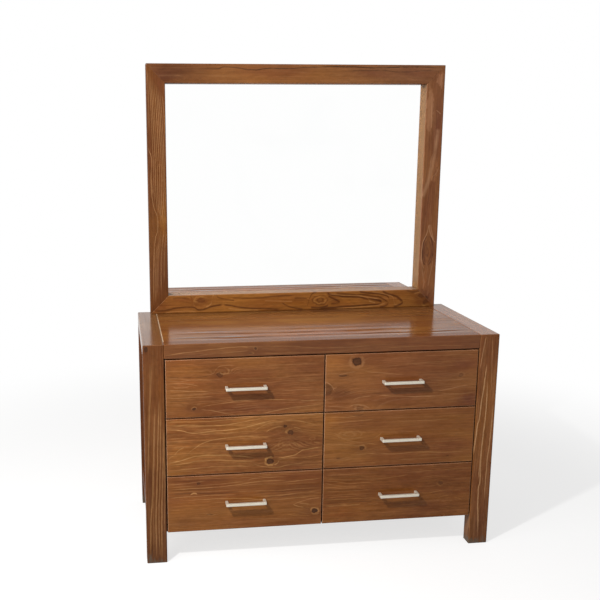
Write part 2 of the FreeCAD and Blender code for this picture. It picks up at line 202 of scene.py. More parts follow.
# stained and bare timber: colours are linear, lengths in metres
stainedPine = {
    "honey": (0.270, 0.100, 0.024), "russet": (0.205, 0.066, 0.017), "shade": (0.108, 0.034, 0.011),
    "line": (0.460, 0.225, 0.085), "knot": (0.038, 0.014, 0.005), "halo": (0.420, 0.200, 0.070),
    "fibre": 0.46, "streak": 0.60, "dash": 0.70, "mottle": 0.26, "shading": 0.50, "lines": 0.60,
    "strands": 0.30, "coat": 0.30, "coatRoughness": 0.22, "roughness": 0.55, "gloss": 0.0,
    "endTone": 0.55, "edge": (0.330, 0.150, 0.070), "wear": 0.35,
}
barePine = {
    "honey": (0.640, 0.420, 0.190), "russet": (0.560, 0.340, 0.135), "shade": (0.500, 0.280, 0.095),
    "line": (0.400, 0.200, 0.065), "knot": (0.130, 0.050, 0.018), "halo": (0.460, 0.230, 0.075),
    "fibre": 0.14, "streak": 0.16, "dash": 0.10, "mottle": 0.10, "shading": 0.35, "lines": 0.70,
    "strands": 0.20, "coat": 0.05, "coatRoughness": 0.45, "roughness": 0.62, "gloss": 0.25,
    "endTone": 0.72, "edge": (0.660, 0.470, 0.250), "wear": 0.30,
}
# what a board has when its own dictionary doesn't say
plainBoard = {
    "tint": (1.0, 1.0, 1.0), "start": 0.0, "veer": 0.0, "lean": 0.0, "bendRate": 1.3, "ripple": 0.0045,
    "waver": 0.006, "shading": 1.0, "lines": 1.0, "strands": 1.0, "coarse": 1.0, "gaps": 0.55, "fading": 0.12,
    "arris": 0.0022, "wornFrom": 0.16, "coatStreak": 1.6, "knots": [], "patches": [],
}
# how often each mark of the wood comes in a metre, along the grain and across it
often = {
    "ragged": (95.0, 95.0), "ripple": (14.0, 40.0), "fade": (3.4, 14.0), "spread": (9.0, 60.0),
    "patch": (3.2, 9.0), "broken": (26.0, 60.0), "waver": (18.0, 50.0), "fibre": (7.0, 430.0),
    "streak": (5.0, 150.0), "dash": (42.0, 150.0), "mottle": (14.0, 34.0), "drift": (6.0, 9.0),
    "patchy": (5.0, 14.0), "haze": (2.6, 34.0),
}


def laySpot(finish, board):
    # where a point lies in its board: along the grain, across it, and through its thickness
    here = objectAxes(finish)
    crossing = [axis for axis in "xyz" if axis not in (board["grain"], board["face"])][0]
    along, across, deep = here[board["grain"]], here[crossing], here[board["face"]]
    level, pick, tone = across, board["seed"] * 3.71, None
    if "courses" in board:
        axis, start, width = board["courses"]
        course = finish.maths("FLOOR", (here[axis] - start) / width)
        pick = course * 5.3 + pick
        chance = finish.node("TexWhiteNoise", {"noise_dimensions": "1D"}, {"W": pick})
        tone = chance * board["vary"] + (1 - board["vary"] / 2)
        if axis == crossing:
            across = across - (course + 0.5) * width - start
            across = across + (chance - 0.5) * width * 0.8
    return here, along, across, level, deep, pick, tone


def ovalReach(spot, at, reach):
    # 0 in the middle of an oval, 1 at its rim
    scaled = spot.vectors("SUBTRACT", (*at, 0.0)).vectors("MULTIPLY", (1 / reach[0], 1 / reach[1], 0.0))
    return scaled.vectors("LENGTH", output="Value")


def knot(along, across, size, reach, push, dark, halo, slim=1.25, **nest):
    # lengths in millimetres: its heart, how far round it the grain swells, and how far that is pushed aside
    return {"at": (along / 1000, across / 1000), "size": size / 1000, "reach": reach / 1000,
            "push": push / 1000, "dark": dark, "halo": halo, "slim": slim, **nest}


def pullKnots(knots, across, level, flat, ragged):
    # the grain swells round each knot; what is left is its dark heart and its light rim
    rise, pull, hearts = None, across, []
    for each in knots:
        near = ovalReach(flat, each["at"], (each["reach"] * 2.2, each["reach"]))
        weight = flat.maths("EXPONENT", near * near * -1.0)
        radius = ovalReach(flat, each["at"], (each["size"] * each["slim"], each["size"])) + ragged
        lift = weight * each["push"]
        rise = lift if rise is None else rise + lift
        pull = pull - (level - each["at"][1]) * weight * 0.5
        hearts.append((each, weight, radius))
    return rise, pull, hearts


def drawThreads(threads, along, wavy, broken, fading=0.12):
    # single growth lines that stand out: how strong, how wide, and the points each passes, in millimetres
    drawn = None
    for strong, width, *points in threads:
        through = sorted((here / 1000, there / 1000) for here, there in zip(points[::2], points[1::2]))
        first, last = through[0][0], through[-1][0]
        low, high = min(spot[1] for spot in through), max(spot[1] for spot in through) + 0.001
        travel = along.node("MapRange", {}, {"Value": along, "From Min": first, "From Max": last})
        bends = [((spot[0] - first) / (last - first), (spot[1] - low) / (high - low)) for spot in through]
        middle = along.node("FloatCurve", {"bends": bends}, {"Value": travel})
        off = along.maths("ABSOLUTE", wavy - along.maths("MULTIPLY_ADD", middle, high - low, low))
        body = along.node("MapRange", {"interpolation_type": "SMOOTHSTEP"},
                          {"Value": off, "From Min": width * 0.0002, "From Max": width * 0.001,
                           "To Min": strong, "To Max": 0.0})
        one = body * travel.ramp((0.0, 0.0), (fading, 1.0), (1.0 - fading, 1.0), (1.0, 0.0))
        drawn = one if drawn is None else along.maths("MAXIMUM", drawn, one)
    return drawn * broken


def layWood(board, look):
    own = {name: look[name] for name in ("coat", "coatRoughness", "wear", "edge")}
    board = {**plainBoard, **own, "darkColour": look["knot"], "threadColour": look["line"], **board}
    tones = {name: tinted(look[name], board["tint"]) for name in ("honey", "russet", "shade", "line", "halo")}
    material, finish = newFinish(board["node"] + "_wood")
    here, along, across, level, deep, pick, tone = laySpot(finish, board)
    point = finish.node("CombineXYZ",
                        sockets={0: along + pick, 1: across + pick * 0.37, 2: deep + pick * 0.71})

    def marks(name, detail=2.0, distortion=0.0):
        lengthways, sideways = often[name]
        return point.clouds((lengthways, sideways, sideways), detail, distortion)

    wobble = finish.node("TexNoise", sockets={"Vector": point, "Scale": 65.0, "Detail": 2.0}, output="Fac")
    wobble = (wobble - 0.5) * 0.011
    flat = finish.node("CombineXYZ", sockets={0: along + wobble, 1: level - wobble})
    rise, pull, hearts = pullKnots(board["knots"], across, level, flat, (marks("ragged") - 0.5) * 0.9)

    # growth rings round the heart of the tree, which leans through the board
    bend = (point.clouds((board["bendRate"], 4.5, 4.5), 1.0) - 0.5) * board["bend"]
    ripple = (marks("ripple") - 0.5) * board["ripple"]
    side = pull - (along - board["start"]) * board["veer"] - board["heart"][0]
    depth = deep - (along - board["start"]) * board["lean"] - board["heart"][1]
    reach = (side * side + depth * depth) ** 0.5 + bend + ripple
    reach = reach + rise if rise else reach
    uneven = finish.node("TexNoise", {"noise_dimensions": "1D"},
                         {"W": reach * 16.0 + pick, "Scale": 1.0, "Detail": 1.0}, "Fac")
    count = reach / board["gap"] + (uneven - 0.5) * 2.2
    ring, phase = finish.maths("FLOOR", count), finish.maths("FRACT", count)
    chance = finish.node("TexWhiteNoise", {"noise_dimensions": "1D"}, {"W": ring + board["seed"]})
    line = phase.ramp((0.0, 0.0), (0.74, 0.0), (0.88, 1.0), (0.94, 1.0), (1.0, 0.0))
    shade = phase.ramp((0.0, 1.0), (0.3, 0.5), (0.7, 0.1), (1.0, 0.6))
    strength = (chance * chance * 0.85 + 0.15) * (marks("fade").between(0.36, 0.62) * 0.85 + 0.15)
    fine = finish.maths("FRACT", count * 2.37 + ring * 0.31)
    strand = fine.ramp((0.0, 0.0), (0.35, 0.0), (0.7, 1.0), (0.85, 1.0), (1.0, 0.0))

    # stain, rings, fibres
    colour = finish.mix(marks("patch").between(0.36, 0.64), tones["honey"], tones["russet"])
    wide = finish.node("CombineXYZ", sockets={0: along + wobble * 3.0, 1: level - wobble * 2.0})
    for lengthways, sideways, length, width, shift, *firm in board["patches"]:
        near = ovalReach(wide, (lengthways / 1000, sideways / 1000), (length / 1000, width / 1000))
        share = 1.0 - near.between(0.85, 1.1) if firm else finish.maths("EXPONENT", near * near * -1.0)
        colour = colour.toward(share, colour.toward(1.0, shift, "MULTIPLY"))
    shading = shade * (strength * 0.7 + 0.3) * (look["shading"] * board["shading"])
    colour = colour.toward(shading, tones["shade"])
    colour = colour.toward(line * strength * (look["lines"] * board["lines"]), tones["line"])
    strand = strand * marks("spread").between(0.42, 0.64) * (look["strands"] * board["strands"])
    colour = colour.toward(strand, tones["line"])
    broken = marks("broken").between(0.28, 0.56) * board["gaps"] + (1 - board["gaps"])
    wavy = level + (marks("waver") - 0.5) * board["waver"]
    for threads, stain in (("darkThreads", "darkColour"), ("threads", "threadColour")):
        if threads in board:
            drawn = drawThreads(board[threads], along, wavy, broken, board["fading"])
            colour = colour.toward(drawn, tinted(board[stain], board["tint"]))
    fibre, streak, mottle = marks("fibre"), marks("streak", 3.0), marks("mottle")
    dash = marks("dash", 2.0, 0.5)
    coarse = board["coarse"]
    streaks = (fibre - 0.5) * (look["fibre"] * coarse) + (streak - 0.5) * (look["streak"] * coarse) + 1.0
    streaks = streaks + (dash - 0.5) * (look["dash"] * coarse) + (mottle - 0.5) * look["mottle"]
    colour = colour.toward(1.0, streaks * tone if tone else streaks, "MULTIPLY")
    part = mottle.between(0.40, 0.60)
    for each, weight, radius in hearts:
        colour = colour.toward(weight * (0.45 * each["dark"]), tones["shade"])
        rim = (radius * 0.4).ramp((0.0, 0.0), (0.46, 0.0), (0.58, 1.0), (0.66, 1.0), (0.86, 0.0))
        colour = colour.toward(rim * part * each["halo"], tones["halo"])
        if "ovals" in each:
            nest = finish.maths("FRACT", radius * 0.8)
            nest = nest.ramp((0.0, 0.0), (0.45, 0.0), (0.68, 1.0), (0.8, 1.0), (1.0, 0.0))
            nest = nest * (1.0 - radius.between(each["ovals"], each["ovals"] + 0.4)) * (part * 0.5 + 0.5)
            colour = colour.toward(nest * each["nest"], tones[each.get("nestColour", "line")])
        heart = (radius * 0.5).ramp((0.0, 0.85), (0.28, 0.75), (0.4, 1.0), (0.5, 1.0), (0.57, 0.0))
        colour = colour.toward(heart * each["dark"], look["knot"])

    # sawn ends drink more stain, and arrises are paler, partly from wear and partly as a painted highlight
    end = turnedTo(finish, board["grain"]).between(0.75, 0.95)
    colour = colour.toward(end, colour.toward(1.0, (look["endTone"],) * 3, "MULTIPLY"))
    # painted light and shade on the faces beside the show face: painted shade in the gaps round the drawer
    # fronts, a painted highlight on the mirror's bottom rail's top face
    if "edgeTone" in board:
        inset = (deep - board["edgeFrom"]).between(0.002, 0.008)
        edge = (1.0 - turnedTo(finish, board["face"]).between(0.3, 0.8)) * inset
        colour = colour.toward(edge * board["edgeTone"], board["edgeStain"])
    # a rail's front seen through the gaps: stained, and painted near black as shade
    if "stainedTo" in board:
        darkFront = 1.0 - (here["y"] + (streak - 0.5) * 0.006 - board["stainedTo"]).between(-0.002, 0.002)
        colour = colour.toward(darkFront, stainedPine["knot"])
    # a pale line along one seam
    if "rubbed" in board:
        axis, first, last = board["rubbed"]
        rubbed = (1.0 - (here[axis] - first).between(last - first - 0.001, last - first)) * 0.85
        colour = colour.toward(rubbed, board["rubbedColour"])
    if "scuffed" in board:
        scuff = (here["z"] + (mottle - 0.5) * 0.10 + (dash - 0.5) * 0.04).between(0.004, board["scuffed"])
        colour = colour.toward((1.0 - scuff) * 0.75, board["scuffColour"])
    # the arrises' paler colour is partly wear and partly a painted highlight where an edge catches the light
    soft = finish.node("Bevel", {"samples": 4}, {"Radius": board["arris"]})
    true = finish.node("NewGeometry", output="True Normal")
    worn = (1.0 - soft.vectors("DOT_PRODUCT", true, "Value")).between(0.004, board["wornFrom"])
    worn = worn * (mottle.between(0.3, 0.6) * 0.35 + 0.65)
    colour = colour.toward(worn * board["wear"], board["edge"])

    coat, patchiness = board["coat"], board["coat"] * board["coatStreak"]
    coated = (streak - 0.5) * patchiness + (dash - 0.5) * (patchiness * 0.4) + coat
    if "sheen" in board:
        drift = level + (marks("drift") - 0.5) * 0.022
        patchy = marks("patchy").between(0.3, 0.6) * 0.6 + 0.4
        coated = coated + drawThreads(board["sheen"], along, drift, patchy) * 0.5
        coated = coated - drawThreads(board["dull"], along, drift, patchy) * 0.85
        coated = finish.maths("MAXIMUM", coated + (marks("haze", 3.0) - 0.5) * 0.6, 0.02)
    height = fibre * 0.4 + streak * 0.3 + line * strength * 0.6
    surface(finish, {
        "Base Color": colour, "Roughness": look["roughness"] + (streak - 0.5) * 0.12,
        "Normal": height.bumped(0.22, 0.0004, soft), "Specular IOR Level": look["gloss"],
        "Coat Weight": coated, "Coat Roughness": board["coatRoughness"],
    })
    dress(board["node"], material)


# drawer fronts
purple, golden, deepened = (0.78, 0.70, 0.86), (1.22, 1.20, 1.04), (0.76, 0.74, 0.76)
upperLeftFront = {
    "node": "upper_left_drawer_front", "seed": 1, "gap": 0.0085, "bend": 0.02,
    "heart": (0.480, -0.420), "lean": 0.02, "start": -0.44, "lines": 0.36, "tint": (0.86, 0.83, 0.80),
    "coarse": 0.85, "strands": 0.8,
    "knots": [
        knot(-436, 541, 4.4, 14, 8, 0.9, 0.5), knot(-350, 654, 7.8, 18, 16, 0.55, 0),
        knot(-336, 666, 6.6, 20, 8, 0, 0.6),
    ],
    "patches": [
        (-470, 690, 60, 22, golden), (-460, 630, 50, 20, (1.05, 0.92, 0.90)), (-240, 535, 120, 16, purple),
        (-80, 660, 60, 30, (0.86, 0.84, 0.90)), (-80, 600, 140, 200, (1.15, 1.20, 1.38)),
    ],
    "threads": [
        (0.55, 2.2, -412, 545, -385, 553, -345, 556, -290, 561, -230, 565),
        (0.75, 2.2, -210, 564, -170, 563, -100, 557, -4, 553),
        (0.6, 2.2, -415, 538, -375, 533, -340, 523, -300, 516),
        (0.65, 2.2, -215, 516, -150, 525, -100, 532, -4, 539),
        (0.55, 2.2, -530, 607, -480, 605, -430, 601, -380, 600),
        (0.45, 2.2, -530, 583, -450, 580, -370, 582),
        (0.35, 2.2, -530, 650, -470, 643, -400, 637, -330, 640),
        (0.4, 2.2, -400, 658, -380, 656, -362, 674, -345, 684, -300, 684),
        (0.3, 2.2, -300, 640, -180, 637, -60, 641, -4, 640),
        (0.5, 2.0, -528, 640, -480, 637, -430, 640, -380, 633),
        (0.55, 2.0, -520, 624, -490, 630, -455, 626, -420, 618),
        (0.45, 2.0, -505, 619, -480, 614, -450, 618), (0.35, 2.0, -528, 592, -460, 590, -380, 593),
        (0.3, 2.0, -520, 672, -440, 668, -390, 671), (0.3, 2.0, -260, 624, -200, 622, -100, 626, -20, 622),
        (0.3, 2.0, -160, 596, -90, 592, -10, 594), (0.25, 2.0, -200, 676, -100, 680, -10, 676),
    ],
    "darkThreads": [
        (0.35, 3.0, -528, 651, -480, 650, -440, 648, -380, 652),
        (0.25, 4.0, -528, 571, -460, 569, -400, 572, -330, 568),
        (0.30, 2.6, -500, 609, -470, 606, -430, 610),
    ],
}
upperRightFront = {
    "node": "upper_right_drawer_front", "seed": 2, "gap": 0.010, "bend": 0.03,
    "heart": (0.480, -0.420), "lean": 0.05, "start": 0.0, "lines": 0.35, "tint": (1.03, 1.03, 1.14),
    "coarse": 0.6, "strands": 0.5,
    "knots": [
        knot(107, 682, 12.8, 24, 16, 0.85, 0.35, slim=1.12), knot(62, 635, 2.8, 14, 6, 0.6, 0, slim=4.5),
        knot(0, 588, 19, 30, 16, 0.42, 0.45), knot(125, 519, 8.5, 30, 18, 0.3, 0.2),
        knot(470, 622, 6.6, 18, 8, 0.35, 0.15),
    ],
    "patches": [
        (40, 680, 50, 24, golden), (505, 540, 30, 24, (0.66, 0.56, 0.80)),
        (480, 665, 50, 30, (0.86, 0.78, 0.92)), (50, 575, 35, 20, deepened),
        (420, 610, 140, 200, (0.83, 0.82, 0.82)),
    ],
    "threads": [
        (0.45, 2.6, 45, 638, 70, 643, 105, 648), (0.75, 2.8, 4, 614, 16, 608, 28, 594, 34, 580),
        (0.5, 2.2, 185, 561, 250, 557, 320, 553, 390, 551), (0.35, 2.2, 390, 568, 440, 577, 500, 586),
        (0.35, 2.2, 96, 545, 115, 556, 160, 561), (0.22, 2.2, 190, 660, 300, 667, 400, 672, 520, 670),
        (0.5, 2.4, 84, 524, 105, 533, 130, 530, 150, 521, 160, 512),
        (0.45, 2.4, 100, 514, 115, 522, 134, 517, 142, 512), (0.5, 2.4, 93, 700, 84, 690, 88, 680),
        (0.4, 2.4, 26, 600, 36, 593, 42, 604), (0.3, 2.0, 130, 652, 150, 645, 200, 640, 270, 630),
        (0.3, 2.0, 400, 560, 470, 556, 520, 560), (0.25, 2.0, 10, 530, 60, 527, 90, 524),
        (0.25, 2.0, 350, 612, 420, 606, 500, 610), (0.25, 2.0, 330, 690, 430, 694, 520, 690),
    ],
    "darkThreads": [
        (0.45, 3.4, 44, 637, 60, 634, 84, 637), (0.35, 3.0, 66, 580, 78, 578, 90, 581),
        (0.25, 4.0, 150, 571, 250, 566, 340, 570, 420, 562),
    ],
}
middleLeftFront = {
    "node": "middle_left_drawer_front", "seed": 3, "gap": 0.0090, "bend": 0.030,
    "heart": (0.560, -0.380), "lean": 0.02, "start": -0.13, "lines": 0.55, "tint": (1.0, 1.01, 0.88),
    "knots": [
        knot(-131, 467, 4.6, 18, 10, 0.92, 0.7), knot(-113, 446, 7.6, 22, 14, 0.7, 0.9),
        knot(-127, 405, 8, 26, 20, 0, 0, ovals=2, nest=0.2, slim=1.7),
        knot(-181, 346, 8.6, 20, 12, 0.85, 0.9),
        knot(-40, 420, 5, 20, 12, 0, 0, ovals=1.6, nest=0.3, slim=2.2),
    ],
    "patches": [
        (-110, 430, 90, 40, (0.86, 0.80, 0.84)), (-480, 500, 60, 12, golden), (-470, 400, 50, 16, golden),
        (-110, 330, 80, 15, deepened), (-100, 420, 160, 200, (0.95, 0.94, 1.10)),
    ],
    "threads": [
        (0.55, 2.2, -530, 502, -420, 497, -300, 499, -230, 508),
        (0.75, 2.2, -530, 487, -470, 485, -420, 482, -360, 480, -270, 490, -190, 506),
        (0.8, 2.2, -530, 475, -480, 468, -440, 459, -360, 462, -300, 465, -250, 474, -160, 494),
        (0.5, 2.2, -430, 470, -400, 467, -360, 469), (0.4, 2.2, -430, 455, -360, 452, -290, 457),
        (0.55, 2.2, -244, 450, -220, 466, -195, 477, -165, 484, -120, 487, -60, 478, -20, 462),
        (0.7, 2.6, -196, 450, -180, 460, -160, 466, -138, 466), (0.7, 2.6, -104, 463, -88, 459, -74, 450),
        (0.6, 2.2, -466, 378, -430, 409, -400, 424, -360, 433, -300, 438, -190, 431),
        (0.8, 2.6, -530, 356, -490, 362, -450, 372, -410, 378, -360, 377, -290, 370, -230, 360),
        (0.6, 2.2, -530, 347, -460, 354, -400, 360, -320, 356, -230, 346),
        (0.8, 2.6, -160, 354, -120, 360, -90, 368, -68, 381, -4, 388),
        (0.45, 2.2, -160, 346, -100, 356, -50, 356, -4, 362), (0.9, 3.4, -168, 333, -158, 338, -150, 348),
        (0.55, 2.6, -504, 384, -490, 398, -470, 410), (0.6, 2.6, -524, 368, -516, 376, -504, 382),
        (0.55, 2.2, -510, 330, -440, 333, -370, 336, -250, 330),
        (0.5, 2.2, -240, 344, -195, 327, -160, 323, -120, 330, -60, 334),
    ],
}
middleRightFront = {
    "node": "middle_right_drawer_front", "seed": 4, "gap": 0.0095, "bend": 0.025,
    "heart": (0.260, -0.400), "lean": 0.03, "start": 0.2, "lines": 0.30, "tint": (0.99, 1.00, 0.92),
    "coarse": 0.6, "strands": 0.5,
    "knots": [
        knot(134, 377, 6.6, 16, 8, 0.7, 0.3), knot(437, 336, 2.4, 10, 3, 0.5, 0, slim=2),
        knot(52, 345, 2, 10, 2, 0.5, 0, slim=3),
        knot(90, 428, 8, 26, 14, 0, 0, ovals=2, nest=0.22, slim=2.4),
    ],
    "patches": [
        (30, 480, 40, 22, golden), (450, 370, 70, 30, (0.88, 0.80, 0.90)),
    ],
    "threads": [
        (0.4, 2.2, 60, 350, 150, 355, 250, 352, 340, 354, 430, 347, 525, 360),
        (0.35, 2.2, 6, 396, 80, 392, 135, 385), (0.35, 2.2, 56, 424, 80, 409, 130, 398, 190, 388),
        (0.45, 2.6, 110, 386, 128, 387, 146, 384), (0.35, 2.2, 180, 414, 196, 424, 202, 434),
        (0.3, 2.0, 5, 494, 60, 490, 120, 493), (0.35, 2.0, 5, 476, 40, 472, 100, 474, 180, 478),
        (0.3, 2.0, 56, 432, 80, 437, 120, 436, 150, 430), (0.25, 2.0, 60, 418, 90, 414, 140, 416),
        (0.25, 2.0, 250, 470, 340, 466, 440, 470), (0.25, 2.0, 300, 392, 400, 388, 500, 392),
        (0.2, 2.0, 250, 333, 350, 329, 480, 334), (0.2, 2.0, 20, 325, 120, 322, 200, 326),
    ],
    "darkThreads": [
        (0.35, 3.0, 96, 497, 110, 494, 138, 498), (0.3, 2.6, 46, 345, 54, 344, 62, 346),
    ],
}
lowerLeftFront = {
    "node": "lower_left_drawer_front", "seed": 5, "gap": 0.0080, "bend": 0.022,
    "heart": (0.040, -0.380), "lean": 0.02, "start": -0.3, "lines": 0.50, "tint": (0.93, 0.90, 0.80),
    "coarse": 0.55, "strands": 0.7,
    "knots": [
        knot(-423, 279, 3.4, 13, 6, 0.7, 0, slim=1.8), knot(-387, 166, 2.2, 14, 4, 0.5, 0, slim=4.5),
        knot(-26, 159, 7.4, 22, 14, 0.95, 0.8),
    ],
    "patches": [
        (-440, 215, 90, 26, golden), (-280, 225, 100, 16, (1.10, 1.06, 0.96)),
        (-270, 135, 120, 18, (0.84, 0.78, 0.88)), (-480, 140, 60, 18, deepened),
        (-60, 250, 60, 14, deepened), (-270, 288, 300, 26, (0.88, 0.80, 0.80)),
    ],
    "threads": [
        (0.5, 2.2, -530, 281, -460, 283, -400, 288),
        (0.6, 2.2, -520, 264, -440, 262, -380, 264, -300, 268, -180, 277, -120, 275),
        (0.45, 2.2, -260, 281, -200, 289, -120, 287), (0.55, 2.2, -140, 269, -80, 271, -4, 277),
        (0.55, 2.2, -530, 233, -420, 235, -350, 235, -290, 228),
        (0.65, 2.2, -480, 222, -390, 222, -270, 218, -220, 212, -170, 208, -120, 209, -4, 213),
        (0.55, 2.2, -220, 222, -150, 223, -100, 226, -4, 232),
        (0.95, 3.6, -452, 238, -446, 244, -438, 246, -428, 241),
        (0.5, 2.6, -400, 170, -380, 164, -365, 166), (0.55, 2.2, -100, 186, -70, 196, -40, 203, -4, 206),
        (0.6, 2.6, -102, 187, -92, 181, -62, 174), (0.7, 2.6, -34, 150, -22, 146, -10, 148),
        (0.35, 2.2, -260, 146, -190, 139, -120, 134),
        (0.4, 1.8, -525, 301, -430, 299, -330, 303, -200, 300, -80, 302, -4, 300),
        (0.35, 1.8, -500, 294, -400, 296, -280, 292, -150, 296, -10, 293),
        (0.4, 1.8, -525, 272, -450, 271, -360, 274, -260, 281),
        (0.35, 1.8, -300, 262, -200, 265, -100, 262, -10, 266),
        (0.35, 1.8, -525, 254, -450, 252, -380, 250, -300, 255),
        (0.4, 1.8, -330, 240, -240, 243, -150, 240, -60, 243, -4, 241),
        (0.35, 1.8, -400, 206, -300, 209, -200, 204), (0.25, 1.8, -528, 190, -450, 187, -380, 190),
        (0.3, 1.8, -120, 150, -80, 144, -40, 142), (0.25, 1.8, -528, 125, -400, 121, -300, 124),
        (0.55, 2.2, -80, 190, -60, 187, -45, 184),
    ],
    "darkThreads": [
        (0.4, 3.0, -528, 247, -440, 246, -360, 242, -280, 246), (0.3, 3.0, -528, 262, -440, 259, -350, 262),
        (0.3, 3.0, -240, 234, -140, 236, -10, 236), (0.35, 3.0, -200, 218, -120, 219, -10, 224),
        (0.3, 3.0, -528, 290, -430, 290, -300, 286),
    ],
}
lowerRightFront = {
    "node": "lower_right_drawer_front", "seed": 6, "gap": 0.0085, "bend": 0.022,
    "heart": (0.460, -0.400), "lean": -0.03, "start": 0.3, "lines": 0.45, "tint": (0.81, 0.745, 0.61),
    "coarse": 0.85,
    "knots": [
        knot(418, 236, 5.8, 16, 8, 0.45, 0.35),
        knot(445, 170, 8, 22, 12, 0, 0, ovals=1.8, nest=0.15, slim=2.2),
    ],
    "patches": [
        (60, 150, 90, 28, (1.14, 1.10, 1.0)), (420, 150, 120, 30, (0.84, 0.78, 0.90)),
    ],
    "threads": [
        (0.5, 2.2, 2, 275, 40, 270, 100, 264, 160, 263, 230, 265, 310, 277),
        (0.4, 2.2, 2, 258, 30, 251, 70, 243, 130, 241), (0.45, 2.2, 2, 195, 100, 196, 200, 191),
        (0.3, 2.2, 10, 213, 100, 210, 180, 212), (0.5, 2.6, 6, 173, 70, 172, 140, 173),
        (0.35, 2.2, 370, 198, 420, 206, 460, 207, 520, 198), (0.35, 2.0, 4, 289, 60, 285, 130, 287),
        (0.35, 2.0, 4, 266, 50, 259, 110, 252, 170, 254), (0.3, 2.0, 4, 244, 60, 237, 140, 233),
        (0.3, 2.0, 4, 227, 90, 224, 180, 226), (0.3, 2.0, 20, 203, 90, 204, 180, 201),
        (0.6, 2.6, 20, 174, 34, 171, 46, 173), (0.6, 2.6, 62, 173, 76, 175, 90, 172),
        (0.6, 2.6, 100, 174, 118, 172, 136, 174), (0.4, 2.2, 160, 174, 180, 172, 200, 175),
        (0.3, 2.0, 4, 150, 80, 146, 170, 149), (0.3, 2.0, 410, 176, 424, 184, 450, 187),
        (0.3, 2.0, 470, 179, 490, 175, 500, 168), (0.25, 2.0, 330, 230, 380, 226, 405, 230),
        (0.2, 2.0, 330, 280, 420, 284, 520, 280),
    ],
    "darkThreads": [
        (0.3, 3.0, 4, 181, 80, 183, 180, 180), (0.3, 3.0, 4, 234, 70, 229, 150, 226),
        (0.3, 2.6, 4, 281, 70, 277, 150, 271), (0.25, 3.0, 170, 254, 220, 256, 300, 252),
    ],
}
# on every front the side faces are painted near black as shade in the gaps, and the arrises are painted paler
# than wear alone, as highlight
everyFront = {
    "grain": "x", "face": "y", "edgeTone": 0.90, "edgeStain": (0.030, 0.008, 0.010), "edgeFrom": -0.261,
    "edge": (0.520, 0.300, 0.185), "wear": 0.85, "arris": 0.0036, "wornFrom": 0.10,
}
for board in (upperLeftFront, upperRightFront, middleLeftFront, middleRightFront, lowerLeftFront,
              lowerRightFront):
    layWood({**board, **everyFront}, stainedPine)
print("drawer fronts stained")

# legs and the side strips of the top
feet = {"scuffed": 0.028, "scuffColour": (0.110, 0.085, 0.060)}
leftFrontLeg = {
    "node": "left_front_leg", "grain": "z", "face": "y", "seed": 11, "gap": 0.0115, "bend": 0.012,
    "heart": (-0.900, -0.150), "veer": 0.01, "lines": 0.9, "tint": (0.530, 0.472, 0.420), "waver": 0.003,
    "gaps": 0.25, "coarse": 0.8, "threadColour": (0.520, 0.270, 0.105), **feet,
    "knots": [
        knot(746, -590, 6.8, 8, 3, 0.85, 0),
    ],
    "patches": [
        (620, -542, 70, 12, golden), (450, -560, 160, 30, (1.08, 1.08, 1.04)),
        (300, -590, 120, 8, deepened), (40, -566, 110, 60, (0.84, 0.84, 0.86)),
        (740, -566, 60, 60, (0.86, 0.80, 0.80)),
    ],
    "threads": [
        (1.0, 3.2, 10, -588, 130, -586, 250, -577, 400, -571, 560, -564),
        (0.45, 2.6, 10, -578, 250, -573, 480, -566),
        (1.0, 3.2, 10, -568, 130, -568, 280, -562, 400, -558, 580, -550),
        (0.8, 3.0, 10, -556, 130, -558, 280, -553, 420, -549, 560, -545),
        (0.95, 3.2, 10, -549, 130, -549, 260, -545, 350, -541, 500, -538),
        (0.75, 2.6, 100, -541, 250, -537, 420, -534, 500, -533),
        (0.7, 2.8, 290, -593, 400, -588, 520, -582, 640, -575, 700, -573),
        (0.5, 2.6, 450, -590, 560, -582, 700, -577),
    ],
}
rightFrontLeg = {
    "node": "right_front_leg", "grain": "z", "face": "y", "seed": 12, "gap": 0.0125, "bend": 0.045,
    "heart": (0.760, -0.200), "veer": -0.02, "lines": 0.45, "bendRate": 2.4, "tint": (0.88, 0.87, 0.90),
    "waver": 0.003, "gaps": 0.25, "coarse": 0.8, "threadColour": (0.560, 0.300, 0.130), **feet,
    "patches": [
        (40, 566, 90, 60, (0.74, 0.74, 0.78)), (420, 560, 150, 30, (0.93, 0.87, 0.76)),
    ],
    "threads": [
        (1.0, 3.2, 330, 532, 400, 537, 440, 540, 460, 545, 520, 549, 570, 554, 660, 560),
        (0.9, 3.0, 20, 566, 100, 562, 200, 558, 240, 562, 300, 560, 400, 563, 470, 567, 600, 567),
        (0.75, 2.6, 240, 556, 320, 558, 460, 566), (0.6, 2.4, 640, 537, 700, 544, 756, 553),
        (0.7, 2.8, 160, 582, 300, 583, 380, 588, 520, 592), (0.35, 2.2, 560, 582, 660, 578, 756, 574),
    ],
}
leftRearLeg = {
    "node": "left_rear_leg", "grain": "z", "face": "y", "seed": 13, "gap": 0.008, "bend": 0.02,
    "heart": (-0.760, 0.360), "tint": (0.42, 0.36, 0.46), **feet,
}
rightRearLeg = {
    "node": "right_rear_leg", "grain": "z", "face": "y", "seed": 14, "gap": 0.009, "bend": 0.025,
    "heart": (0.800, 0.200), "tint": (0.42, 0.36, 0.46), **feet,
}
leftTopRail = {
    "node": "left_top_rail", "grain": "y", "face": "z", "seed": 15, "gap": 0.009, "bend": 0.018,
    "heart": (-0.800, 0.600), "lines": 0.35, "tint": (0.80, 0.97, 1.26), "coat": 0.85,
    "coatRoughness": 0.16, "coatStreak": 0.5, "coarse": 0.5, "strands": 0.4,
}
